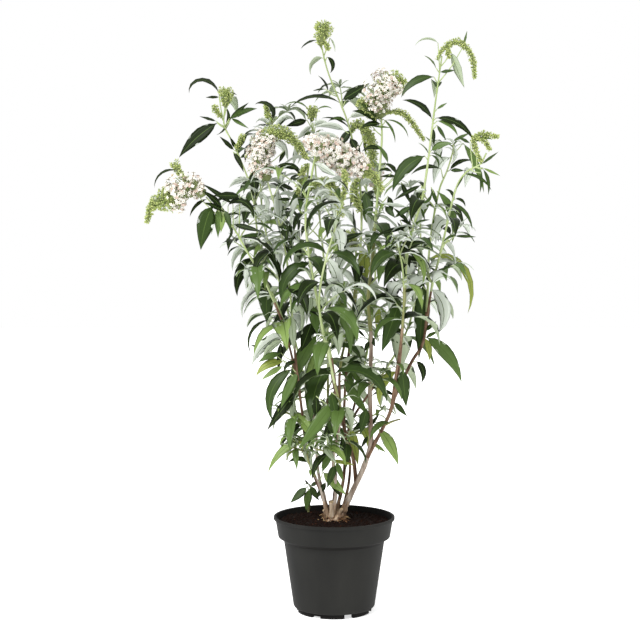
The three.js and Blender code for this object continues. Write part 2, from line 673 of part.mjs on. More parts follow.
// A head that is given in the front view. One that starts beside the stem's tip starts from the tip.
function seenHead(mass, rows) {
  const points = rows.map(([across, down, depth]) => seenAt(across, down, depth));
  const radii = rows.map(([, , depth, width]) => width / 2 * (CAMERA_AWAY + depth) / VIEW_FOCUS);
  const tip = mass.stem.getPointAt(1);
  if (tip.distanceTo(points[0]) < TIP_SLACK) {
    points[0] = tip.addScaledVector(mass.stem.getTangentAt(1), -HEAD_SINK);
  }
  const path = smoothPath(points);
  const lengths = path.getLengths(20 * (points.length - 1));
  const marks = points.map((_, row) => lengths[20 * row] / lengths.at(-1));
  const radiusAt = (share) => {
    const row = Math.max(1, marks.findIndex((mark) => mark >= share - 1e-6));
    return mix(radii[row - 1], radii[row], (share - marks[row - 1]) / (marks[row] - marks[row - 1]));
  };
  return { path, radiusAt };
}

function headsOf(mass) {
  if (PLUMES[mass.name]) {
    return PLUMES[mass.name].map((rows) => seenHead(mass, rows));
  }
  return mass.head ? [archedHead(mass)] : [];
}

function spacedSamples(path) {
  return path.getSpacedPoints(Math.max(2, Math.ceil(path.getLength() / SAMPLE_STEP)));
}

// Lays out every shoot: its whole path, its woody limb and its leafy stem.
function layOut() {
  const laid = new Map();
  SHOOTS.forEach((shoot, index) => {
    const parent = shoot.from ? laid.get(shoot.from) : null;
    const start = parent ? parent.path.getPointAt(shoot.at) : vector(shoot.start);
    const path = smoothPath([start, ...shoot.via.map(vector)]);
    const length = path.getLength();
    const joint = mix(shoot.radii[0], shoot.radii[1], shoot.bare);
    laid.set(shoot.name, {
      ...shoot,
      index,
      path,
      length,
      limb: stretch(path, 0, shoot.bare),
      stem: stretch(path, shoot.bare + GAP / length, 1, 12),
      limbRadii: [shoot.radii[0], joint],
      stemRadii: [joint, shoot.radii[1]],
    });
  });
  return laid;
}

function layOutLow(laid) {
  return LOW_SHOOTS.map(([name, cane, at, azimuth, length, leaf, turn], row) => {
    const carrier = laid.get(cane);
    const onCane = carrier.path.getPointAt(at);
    const caneRadius = mix(carrier.radii[0], carrier.radii[1], at);
    const away = archPath(onCane, azimuth, length, 34, 12);
    return {
      name,
      cane,
      index: SHOOTS.length + row,
      stem: stretch(away, (caneRadius + GAP) / length / Math.cos(rad(34)), 1),
      stemRadii: [2, 1.3],
      leaf: [leaf, leaf],
      turn,
      droop: 74,
      internode: LOW_INTERNODE,
    };
  });
}

// The height of the sucker's foot: clear of the highest soil under it, on the slope beside the pot's wall.
function suckerFoot() {
  const out = Math.hypot(...SUCKER[0]) - SUCKER_RADIUS * 1.5;
  const share = (SOIL_EDGE_RADIUS - out) / (SOIL_EDGE_RADIUS * (1 - SOIL_BEND));
  return SOIL_EDGE_Z + SOIL_BANK * share + GAP;
}

const laid = layOut();
const lowShoots = layOutLow(laid);
const sidePath = smoothPath([vector(SIDE_CANE.start), ...SIDE_CANE.via.map(vector)]);
const sideLimb = stretch(sidePath, 0, SIDE_CANE.bare);
const sucker = {
  name: 'sucker',
  index: SHOOTS.length + LOW_SHOOTS.length,
  stem: smoothPath([vector([...SUCKER[0], suckerFoot()]), ...SUCKER.slice(1).map(vector)]),
  stemRadii: [SUCKER_RADIUS, 1.2],
  leaf: [44, 40],
  turn: 20,
  droop: 50,
};
const sideTuft = {
  name: 'side_tuft',
  index: sucker.index + 1,
  stem: stretch(sidePath, SIDE_CANE.bare + GAP / sidePath.getLength(), 1),
  stemRadii: [2.1, 1.3],
  leaf: [46, 40],
  turn: 75,
  droop: 55,
};
const masses = [...laid.values(), ...lowShoots, sucker, sideTuft];
const limbs = [
  ...[...laid.values()].map((shoot) => ({ path: shoot.limb, radii: shoot.limbRadii })),
  { path: sideLimb, radii: SIDE_CANE.radii },
];
const limbSamples = limbs.flatMap(({ path, radii }) => {
  const points = spacedSamples(path);
  return points.map((point, step) => ({ point, radius: mix(radii[0], radii[1], step / points.length) }));
});
const spaces = new Map(masses.map((mass) => [mass.name, spaceOf(mass)]));

// The stem and the flower heads that a mass's space is measured from.
function spaceOf(mass) {
  const samples = spacedSamples(mass.stem).map((point) => ({ point, radius: 0 }));
  for (const { path, radiusAt } of headsOf(mass)) {
    const points = spacedSamples(path);
    const last = points.length - 1;
    samples.push(...points.map((point, step) => ({ point, radius: radiusAt(step / last) * 1.1 })));
  }
  return samples;
}

function nearest(point, samples) {
  let least = Infinity;
  for (const sample of samples) {
    least = Math.min(least, sample.point.distanceTo(point) - sample.radius);
  }
  return least;
}

// True where every point lies nearer to its own stem than to any other, and clear of limbs and soil.
function keepsItsSpace(points, owner) {
  return points.every((point) => {
    const low = point.z < SOIL_TOP_Z + LIMB_MARGIN;
    if (low || nearest(point, limbSamples) < LIMB_MARGIN) {
      return false;
    }
    const own = nearest(point, spaces.get(owner)) + SPACE_MARGIN;
    return [...spaces].every(([name, samples]) => name === owner || nearest(point, samples) > own);
  });
}

function leafPoints(leaf) {
  const path = leafPath(leaf);
  const half = leaf.length * leaf.aspect;
  const points = [0.22, 0.45, 0.68, 0.85, 1].map((share) => path.getPoint(share));
  for (const share of LEAF_STATIONS) {
    const side = acrossBlade(leaf, path, share);
    points.push(path.getPoint(share).addScaledVector(side, half));
    points.push(path.getPoint(share).addScaledVector(side, -half));
  }
  return points;
}

// The crown's left or right edge at one height of the front view.
function edgeAt(down, column) {
  const below = REACH.findLastIndex(([height]) => height <= down) + 1;
  const row = THREE.MathUtils.clamp(below, 1, REACH.length - 1);
  const [before, after] = [REACH[row - 1], REACH[row]];
  const share = THREE.MathUtils.clamp((down - before[0]) / (after[0] - before[0]), 0, 1);
  return mix(before[column], after[column], share);
}

// True where no point passes the crown's outline in the front view or crosses one of its gaps.
function keepsTheOutline(points) {
  return points.every((point) => {
    const { x, y } = frontView(point);
    const crossed = SKY.some(([across, down, radius]) => Math.hypot(x - across, y - down) < radius - 2);
    return !crossed && x > edgeAt(y, 1) && x < edgeAt(y, 2);
  });
}

// The same leaf at its full length or a shorter one that keeps to its space, or nothing.
function fitted(leaf, owner) {
  for (const share of FITTED_SHARES) {
    const shorter = { ...leaf, length: leaf.length * share };
    const points = leafPoints(shorter);
    if ((leaf.shown || keepsTheOutline(points)) && keepsItsSpace(points, owner)) {
      return shorter;
    }
  }
  return null;
}

// How a leaf that crosses the way out turns its face outward.
function outwardRoll(root, azimuth, pick) {
  const lean = Math.sin(rad(azimuth) - Math.atan2(root.y, root.x));
  return (root.y < 0 ? -46 : -12) * lean + 34 * (pick - 0.5);
}

// Thins the rule's leaves where the leaves of the front view already lie across it.
function roomFor(mass, share, azimuth, pick) {
  if (!SHOWN_LEAVES[mass.name]) {
    return true;
  }
  const across = Math.abs(Math.cos(rad(azimuth))) > ACROSS;
  if (share > DRAWN_FROM && DRAWN_TOPS.includes(mass.name)) {
    return Math.sin(rad(azimuth)) > BACKWARD && !across;
  }
  return !across || pick > ACROSS_ODDS;
}

// The leaves of the front view, each worked back to its place on the stem. One that grows from bare wood
// isn't among them.
function shownLeaves(mass) {
  const line = mass.stem.getSpacedPoints(120);
  const seen = line.map(frontView);
  const leaves = [];
  for (const [x0, y0, x1, y1, x2, y2, width, toward, turn] of SHOWN_LEAVES[mass.name] || []) {
    const foot = new THREE.Vector2(x0, y0);
    const apart = seen.map((place) => place.distanceTo(foot));
    const nearest = apart.indexOf(Math.min(...apart));
    if (apart[nearest] > ROOT_SLACK) {
      continue;
    }
    const root = line[nearest];
    const from = seen[nearest];
    const scale = VIEW_FOCUS / (root.y + CAMERA_AWAY);
    const toRight = (x1 - x0) + (x2 - x0) * 0.5 >= 0;
    const azimuth = toRight ? -toward : 180 + toward;
    const roll = toRight ? -turn : turn;
    const run = scale * Math.cos(rad(azimuth));
    const away = new THREE.Vector2(x0 + x2 - 2 * x1, y0 + y2 - 2 * y1).divideScalar(2);
    away.clampLength(0, SHOWN_SLACK * width);
    const middle = new THREE.Vector2((x1 + away.x - from.x) / run, (from.y - y1 - away.y) / scale);
    const end = new THREE.Vector2((x2 - from.x) / run, (from.y - y2) / scale);
    const { length, rise, fall, uneven } = bentThrough(middle, end);
    const half = width / 2 / scale / shownPart(azimuth, mix(rise, fall, 0.5 ** uneven), roll);
    const aspect = Math.min(WIDEST_ASPECT, half / length);
    leaves.push({ root, azimuth, length, rise, fall, uneven, aspect, roll, shown: true });
  }
  return leaves;
}

// Leaf pairs and side twigs along one stem, each pair turned a quarter from the last.
function growth(mass) {
  const length = mass.stem.getLength();
  const leaves = [];
  const twigs = [];
  let along = FIRST_NODE;
  for (let node = 0; along < length - 4; node += 1) {
    const share = along / length;
    const root = mass.stem.getPointAt(share);
    const size = mix(mass.leaf[0], mass.leaf[1], share);
    for (const half of [0, 1]) {
      const draw = half * 10;
      const sway = PAIR_SPREAD * (chance(mass.index, node, draw) - 0.5);
      const azimuth = mass.turn + 90 * node + 180 * half + sway;
      if (!roomFor(mass, share, azimuth, chance(mass.index, node, draw + 12))) {
        continue;
      }
      leaves.push({
        root,
        azimuth,
        length: size * mix(...LENGTH_SPREAD, chance(mass.index, node, draw + 1)),
        rise: mix(...RISE_SPREAD, chance(mass.index, node, draw + 2)) + RISE_WITH_HEIGHT * (root.z - LEVEL_HEIGHT),
        fall: -mass.droop - FALL_SPREAD * chance(mass.index, node, draw + 3),
        uneven: 1,
        aspect: LEAF_ASPECT * mix(1.15, 0.9, share),
        roll: outwardRoll(root, azimuth, chance(mass.index, node, draw + 7)),
      });
      if (chance(mass.index, node, draw + 4) > SIDE_TWIG_ODDS && mass.leaf[0] > 60) {
        const way = azimuth + 40;
        const reach = SIDE_TWIG_LENGTH * mix(0.7, 1.2, chance(mass.index, node, draw + 5));
        twigs.push({ root, azimuth: way, length: reach, rise: 58, fall: 22, size: size * SIDE_LEAF_SHARE });
      }
    }
    along += mass.internode || mix(INTERNODE_LOW, INTERNODE_TOP, share);
  }
  return { leaves, twigs };
}

function twigLeaves(twig) {
  const path = archPath(twig.root, twig.azimuth, twig.length, twig.rise, twig.fall);
  const ends = [[0.6, 75], [0.94, 20], [0.94, -60]];
  return ends.map(([share, turn]) => ({
    root: path.getPoint(share),
    azimuth: twig.azimuth + turn,
    length: twig.size,
    rise: 40,
    fall: -62,
    uneven: 1,
    aspect: TWIG_LEAF_ASPECT,
    roll: 0,
  }));
}

function massSolid(mass) {
  const [low, high] = mass.stemRadii;
  const count = steps(mass.stem.getLength(), TWIG_STEP);
  const bodies = [solid(limbGeometry(mass.stem, low * 1.25, high * 1.25, 3, count))];
  const { leaves, twigs } = growth(mass);
  const blades = [...shownLeaves(mass), ...leaves];
  for (const twig of twigs) {
    const path = archPath(twig.root, twig.azimuth, twig.length, twig.rise, twig.fall);
    if (keepsItsSpace([0.4, 0.7, 1].map((share) => path.getPoint(share)), mass.name)) {
      bodies.push(solid(limbGeometry(path, SIDE_TWIG_RADIUS, SIDE_TWIG_RADIUS * TWIG_TAPER, 3, 2)));
      blades.push(...twigLeaves(twig));
    }
  }
  for (const blade of blades) {
    const kept = fitted(blade, mass.name);
    if (kept) {
      bodies.push(solid(leafGeometry(kept)));
    }
  }
  for (const head of headsOf(mass)) {
    bodies.push(solid(headGeometry(head)));
  }
  return largest(wasm.Manifold.union(bodies).subtract(allLimbs));
}

// The limb with 0.3 mm more all round, which cuts what meets it clear.
function swollenLimb(path, radii) {
  const count = steps(path.getLength(), LIMB_STEP);
  return solid(limbGeometry(path, radii[0] + GAP, radii[1] + GAP, LIMB_SIDES, count));
}

// A limb that starts inside its carrier and is cut back to 0.3 mm clear of it.
function limbSolid(path, radii, carrier) {
  const count = steps(path.getLength(), LIMB_STEP);
  const whole = solid(limbGeometry(path, radii[0], radii[1], LIMB_SIDES, count));
  return largest(whole.subtract(carrier));
}

function potProfile() {
  const inside = (radius) => radius - WALL;
  return [
    [0, 0], [BOSS_RADIUS, 0], [BOSS_RADIUS, BASE_Z], [RING_RADIUS - RING_WIDTH, BASE_Z],
    [RING_RADIUS - RING_WIDTH, 0], [RING_RADIUS, 0], [RING_RADIUS, BASE_Z], [BASE_RADIUS, BASE_Z + 1.2],
    [SHOULDER_RADIUS, SHOULDER_Z], [BAND_LOW_RADIUS, BAND_LOW_Z],
    [BAND_TOP_RADIUS, POT_HEIGHT - LIP_HEIGHT], [RIM_RADIUS, POT_HEIGHT - LIP_HEIGHT],
    [RIM_RADIUS, POT_HEIGHT - 1], [RIM_RADIUS - 1, POT_HEIGHT], [inside(BAND_TOP_RADIUS), POT_HEIGHT],
    [inside(BAND_LOW_RADIUS), BAND_LOW_Z + 2], [inside(SHOULDER_RADIUS), SHOULDER_Z + 2],
    [inside(BASE_RADIUS), FLOOR_Z], [0, FLOOR_Z],
  ].map(([radius, height]) => new THREE.Vector2(radius, height));
}

function standing(geometry) {
  return geometry.rotateX(Math.PI / 2);
}

function potSolid() {
  let body = solid(standing(new THREE.LatheGeometry(potProfile(), POT_SIDES)));
  for (let notch = 0; notch < FOOT_NOTCHES; notch += 1) {
    const angle = rad(NOTCH_TURN + 360 / FOOT_NOTCHES * notch);
    const channel = new THREE.BoxGeometry(RING_WIDTH * 4, NOTCH_WIDTH, BASE_Z * 2);
    channel.rotateZ(angle);
    channel.translate(Math.cos(angle) * RING_RADIUS, Math.sin(angle) * RING_RADIUS, -0.5);
    const drain = standing(new THREE.CylinderGeometry(DRAIN_RADIUS, DRAIN_RADIUS, FLOOR_Z * 3, 8));
    drain.translate(Math.cos(angle) * DRAIN_CIRCLE, Math.sin(angle) * DRAIN_CIRCLE, FLOOR_Z);
    body = body.subtract(solid(channel)).subtract(solid(drain));
  }
  return body;
}

function soilSolid() {
  const inside = (radius) => radius - WALL - 2 * GAP;
  const profile = [
    [0, FLOOR_Z + GAP], [inside(BASE_RADIUS), FLOOR_Z + GAP],
    [inside(SHOULDER_RADIUS), SHOULDER_Z + 2 - GAP], [inside(BAND_LOW_RADIUS), BAND_LOW_Z + 2 - GAP],
    [SOIL_EDGE_RADIUS, SOIL_EDGE_Z], [SOIL_EDGE_RADIUS * SOIL_BEND, SOIL_EDGE_Z + SOIL_BANK],
    [SOIL_FLAT_RADIUS, SOIL_TOP_Z], [0, SOIL_TOP_Z],
  ].map(([radius, height]) => new THREE.Vector2(radius, height));
  return solid(standing(new THREE.LatheGeometry(profile, POT_SIDES)));
}

// The flared foot of the clump with two pruned stubs. `grow` swells it for the cut that seats the canes.
function clumpSolid(grow) {
  const profile = [[0, 0], [1, 0], [0.78, 0.28], [0.68, 0.62], [0.5, 0.88], [0, 1]].map(
    ([radius, height]) => new THREE.Vector2(
      radius && radius * CLUMP_RADIUS + grow,
      SOIL_TOP_Z + GAP + height * CLUMP_HEIGHT + (height && grow),
    ),
  );
  let body = solid(standing(new THREE.LatheGeometry(profile, CLUMP_SIDES)));
  for (const [azimuth, rise] of STUBS) {
    const root = new THREE.Vector3(0, 0, SOIL_TOP_Z + CLUMP_HEIGHT * 0.45);
    const path = archPath(root, azimuth, STUB_LENGTH + grow, rise, rise);
    body = body.add(solid(limbGeometry(path, STUB_RADIUS + grow, STUB_RADIUS * 0.9 + grow, LIMB_SIDES, 2)));
  }
  return body;
}

function material([colour, roughness]) {
  return new THREE.MeshStandardMaterial({ color: colour, roughness, metalness: 0 });
}

const finishes = Object.fromEntries(Object.entries(COLOURS).map(([name, look]) => [name, material(look)]));
const bush = new THREE.Group();

function addNode(name, body, finish) {
  const mesh = new THREE.Mesh(geometryOf(body), finishes[finish]);
  mesh.name = name;
  bush.add(mesh);
}

addNode('pot', potSolid(), 'pot');
addNode('soil', soilSolid(), 'soil');
addNode('clump', clumpSolid(0), 'bark');
const seat = clumpSolid(GAP);
const swollen = new Map();
for (const shoot of laid.values()) {
  const carrier = shoot.from ? swollen.get(shoot.from) : seat;
  addNode(`cane_${shoot.name}`, limbSolid(shoot.limb, shoot.limbRadii, carrier), 'bark');
  swollen.set(shoot.name, swollenLimb(shoot.limb, shoot.limbRadii));
}
addNode('cane_side', limbSolid(sideLimb, SIDE_CANE.radii, seat), 'bark');
const allLimbs = wasm.Manifold.union([...swollen.values(), swollenLimb(sideLimb, SIDE_CANE.radii)]);
for (const mass of masses) {
  addNode(`leaves_${mass.name}`, massSolid(mass), 'leaf');
}

export default bush;
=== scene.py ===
import math

import bpy
import numpy as np
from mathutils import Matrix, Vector, noise


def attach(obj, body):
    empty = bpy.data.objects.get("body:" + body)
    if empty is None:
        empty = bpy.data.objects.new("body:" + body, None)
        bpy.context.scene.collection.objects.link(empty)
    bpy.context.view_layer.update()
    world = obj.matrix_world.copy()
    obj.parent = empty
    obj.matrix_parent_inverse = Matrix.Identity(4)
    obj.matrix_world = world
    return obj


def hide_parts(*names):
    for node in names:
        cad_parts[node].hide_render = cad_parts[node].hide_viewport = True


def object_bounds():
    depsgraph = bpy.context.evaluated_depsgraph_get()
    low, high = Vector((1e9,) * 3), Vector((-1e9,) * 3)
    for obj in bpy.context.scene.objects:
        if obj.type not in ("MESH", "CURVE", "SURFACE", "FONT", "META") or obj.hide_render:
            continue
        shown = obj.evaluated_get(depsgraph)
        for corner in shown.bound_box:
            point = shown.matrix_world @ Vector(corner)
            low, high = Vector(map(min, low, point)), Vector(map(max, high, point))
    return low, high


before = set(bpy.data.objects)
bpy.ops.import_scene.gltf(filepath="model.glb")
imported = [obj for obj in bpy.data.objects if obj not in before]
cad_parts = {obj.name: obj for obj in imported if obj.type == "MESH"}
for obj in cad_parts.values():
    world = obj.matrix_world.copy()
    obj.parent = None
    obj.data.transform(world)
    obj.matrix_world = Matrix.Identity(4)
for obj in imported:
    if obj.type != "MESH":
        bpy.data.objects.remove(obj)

CAD_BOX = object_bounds()
MM = 0.001

# ---------------------------------------------------------------------------
# The pot and the clump, in millimetres
# ---------------------------------------------------------------------------
POT_HEIGHT = 165
RIM_RADIUS = 105
LIP_HEIGHT = 5
BAND_TOP_RADIUS = 102
BAND_LOW_RADIUS = 97
BAND_LOW_Z = 130
SHOULDER_RADIUS = 87.5
SHOULDER_Z = 124
BASE_RADIUS = 70.5
BASE_Z = 8
RING_RADIUS = 65
RING_WIDTH = 7
WALL = 1.8
FLOOR_Z = 10
BOSS_RADIUS = 16
FOOT_NOTCHES = 7
NOTCH_WIDTH = 16.5
NOTCH_TURN = -119
# How far above the floor the dark web in one foot notch ends; the web is painted shade.
SHADE_WEB_LOW = 3.5
SOIL_EDGE_Z = 156
SOIL_TOP_Z = 160
SOIL_FLAT_RADIUS = 34
CLUMP_RADIUS = 21
CLUMP_HEIGHT = 16
# azimuth, rise, length, radius, distance out from the middle
STUBS = (
    (120, 66, 27, 5, 0), (250, 74, 27, 5, 0), (252, 84, 26, 3.6, 15), (318, 58, 17, 3.2, 9),
    (200, 50, 15, 2.6, 10),
)
# The foot's radius, as shares of CLUMP_RADIUS, at shares of its height
CLUMP_LEVELS = [0, 0.2, 0.55, 0.85, 1]
CLUMP_SHARES = [1, 0.92, 0.8, 0.62, 0.3]
COLLAR_LENGTH = 30
SHREDS = 110
SHREDS_FROM = 13
SHREDS_TO = 30
SHRED_LENGTHS = (4, 17)

# The camera, in millimetres and degrees, and the front view it gives
CAMERA_AWAY = 2300
CAMERA_HEIGHT = 615
CAMERA_SIDE = -24.6
CAMERA_TILT = 2.735
VIEW_WIDTH = 640
VIEW_FOCUS = 1335

# ---------------------------------------------------------------------------
# The shoots, in millimetres and degrees, as the solids have them
# ---------------------------------------------------------------------------
# name, carrier, fraction of the carrier where it forks, or the start beside the clump, way points,
# woody share, radii, leaf lengths, first azimuth, droop, flower head
SHOOTS = [
    ("right", None, (11, -5, 165), [(31, -8, 208), (46, -8, 239), (58, -10, 272), (63, -12, 302),
     (61, -18, 394), (63, -20, 472), (58, -10, 540), (65, 0, 605), (76, 22, 730), (83, 36, 817),
     (82, 42, 857)], 0.47, (4.8, 1.4), (109, 88), 20, 62, (78, 23, 90, 88, 78)),
    ("far_right", "right", 0.16, [(96, -25, 350), (108, -36, 418), (116, -45, 507), (119, -50, 567),
     (123, -50, 632), (147, -46, 710), (159, -42, 789), (167, -38, 853), (176, -33, 918), (181, -30, 952)],
     0.3, (3.3, 1.1), (114, 81), 75, 66, (92, 7, 0, 68, -84)),
    ("right_green", "far_right", 0.17, [(134, -10, 435), (152, 10, 460), (160, 25, 495), (165, 45, 565),
     (167, 52, 617), (176, 55, 687), (188, 52, 742), (200, 48, 769), (210, 45, 809)], 0.36, (2.8, 1.2),
     (112, 74), 40, 60, None),
    ("outer_right", "right_green", 0.3, [(167, -20, 566), (177, -40, 612), (186, -60, 659), (194, -70, 699),
     (204, -78, 735), (220, -82, 756), (243, -86, 769), (250, -86, 785)], 0.22, (2.2, 1.2), (104, 65),
     110, 62, (40, 7, 180, 84, 40)),
    ("centre", "right", 0.09, [(33, 2, 265), (24, 10, 292), (16, 18, 323), (10, 28, 362), (12, 40, 429),
     (33, 50, 520), (39, 50, 622)], 0.5, (3.1, 1.6), (104, 74), 0, 70, (36, 9, 90, 88, 80)),
    ("centre_left", "centre", 0.26, [(-2, 0, 401), (-9, -10, 440), (-21, -20, 486), (-30, -30, 541),
     (-40, -42, 595), (-48, -52, 667), (-48, -58, 722), (-43, -62, 770)], 0.2, (2.8, 1.5), (114, 86),
     60, 72, (88, 9, 180, 72, -35)),
    ("front", "centre_left", 0.12, [(-7, -24, 449), (-19, -39, 489), (-28, -58, 536), (-38, -78, 589),
     (-46, -96, 642), (-48, -108, 687), (-39, -117, 742), (-29, -112, 796)], 0.16, (2.8, 1.4), (109, 84),
     15, 66, (118, 21, 0, 12, -42)),
    ("left", None, (-8, -6, 165), [(-21, -10, 203), (-31, -15, 230), (-42, -21, 260), (-50, -27, 301),
     (-54, -32, 339), (-62, -39, 405), (-69, -43, 473), (-74, -45, 541), (-82, -43, 617), (-97, -38, 685),
     (-113, -35, 740)], 0.56, (2.9, 1.3), (104, 84), 35, 70, (82, 20, 60, 86, 66)),
    ("upper_left", "left", 0.42, [(-93, -20, 520), (-118, 5, 574), (-131, 25, 634), (-144, 45, 727),
     (-170, 55, 798), (-195, 60, 851), (-191, 60, 880)], 0.16, (2.1, 1.2), (109, 81), 80, 58,
     (40, 9, 90, 88, 82)),
    ("outer_left", "upper_left", 0.2, [(-118, -56, 574), (-141, -76, 614), (-170, -84, 665),
     (-197, -86, 695), (-213, -86, 713)], 0.16, (2, 1.2), (109, 79), 10, 62, (122, 24, 184, 22, -72)),
    ("tall", None, (3, 9, 165), [(16, 18, 221), (18, 28, 247), (21, 38, 278), (18, 52, 325), (20, 66, 377),
     (24, 78, 421), (45, 98, 590), (49, 96, 715), (32, 82, 826), (11, 70, 885), (-9, 58, 932),
     (-23, 45, 984)], 0.34, (2.9, 1.2), (112, 77), 50, 64, (38, 13, 90, 89, 84)),
    ("back_left", None, (-11, 5, 165), [(-18, 14, 200), (-26, 24, 227), (-30, 36, 260), (-32, 52, 308),
     (-44, 72, 361), (-84, 124, 518), (-124, 156, 659), (-134, 164, 770), (-116, 162, 858)], 0.34,
     (2.6, 1.2), (112, 84), 65, 68, (44, 8, 120, 84, 50)),
    ("back", None, (-3, 12, 165), [(3, 24, 227), (-2, 40, 256), (-5, 62, 288), (-10, 90, 323),
     (-12, 168, 535), (-30, 190, 737), (-38, 182, 862)], 0.3, (2.6, 1.2), (112, 79), 30, 66,
     (40, 10, 90, 88, 80)),
    ("back_right", None, (13, 3, 165), [(26, 20, 220), (28, 40, 256), (25, 66, 300), (62, 132, 445),
     (78, 178, 608), (58, 196, 768)], 0.36, (2.6, 1.2), (112, 81), 0, 66, (100, 17, 70, 30, -72)),
    ("rear_side", "back_right", 0.27, [(130, 130, 470), (158, 158, 600), (160, 165, 712)], 0.26, (2.3, 1.2),
     (109, 79), 45, 64, (44, 7, 60, 80, 55)),
    ("low_front", None, (-2, -10, 165), [(3, -24, 217), (-2, -40, 263), (4, -56, 308), (11, -72, 354),
     (0, -90, 401), (-11, -108, 458), (-21, -122, 498), (-26, -138, 544), (-20, -152, 590), (-9, -166, 631),
     (2, -178, 669), (12, -188, 704)], 0.34, (2.5, 1.2), (114, 81), 70, 70, (58, 8, 90, 86, 70)),
    ("front_right", "far_right", 0.14, [(104, -44, 414), (108, -60, 446), (111, -73, 476), (113, -84, 512),
     (114, -94, 559), (110, -102, 602), (100, -108, 642)], 0.5, (2.4, 1.2), (104, 77), 25, 68, None),
]
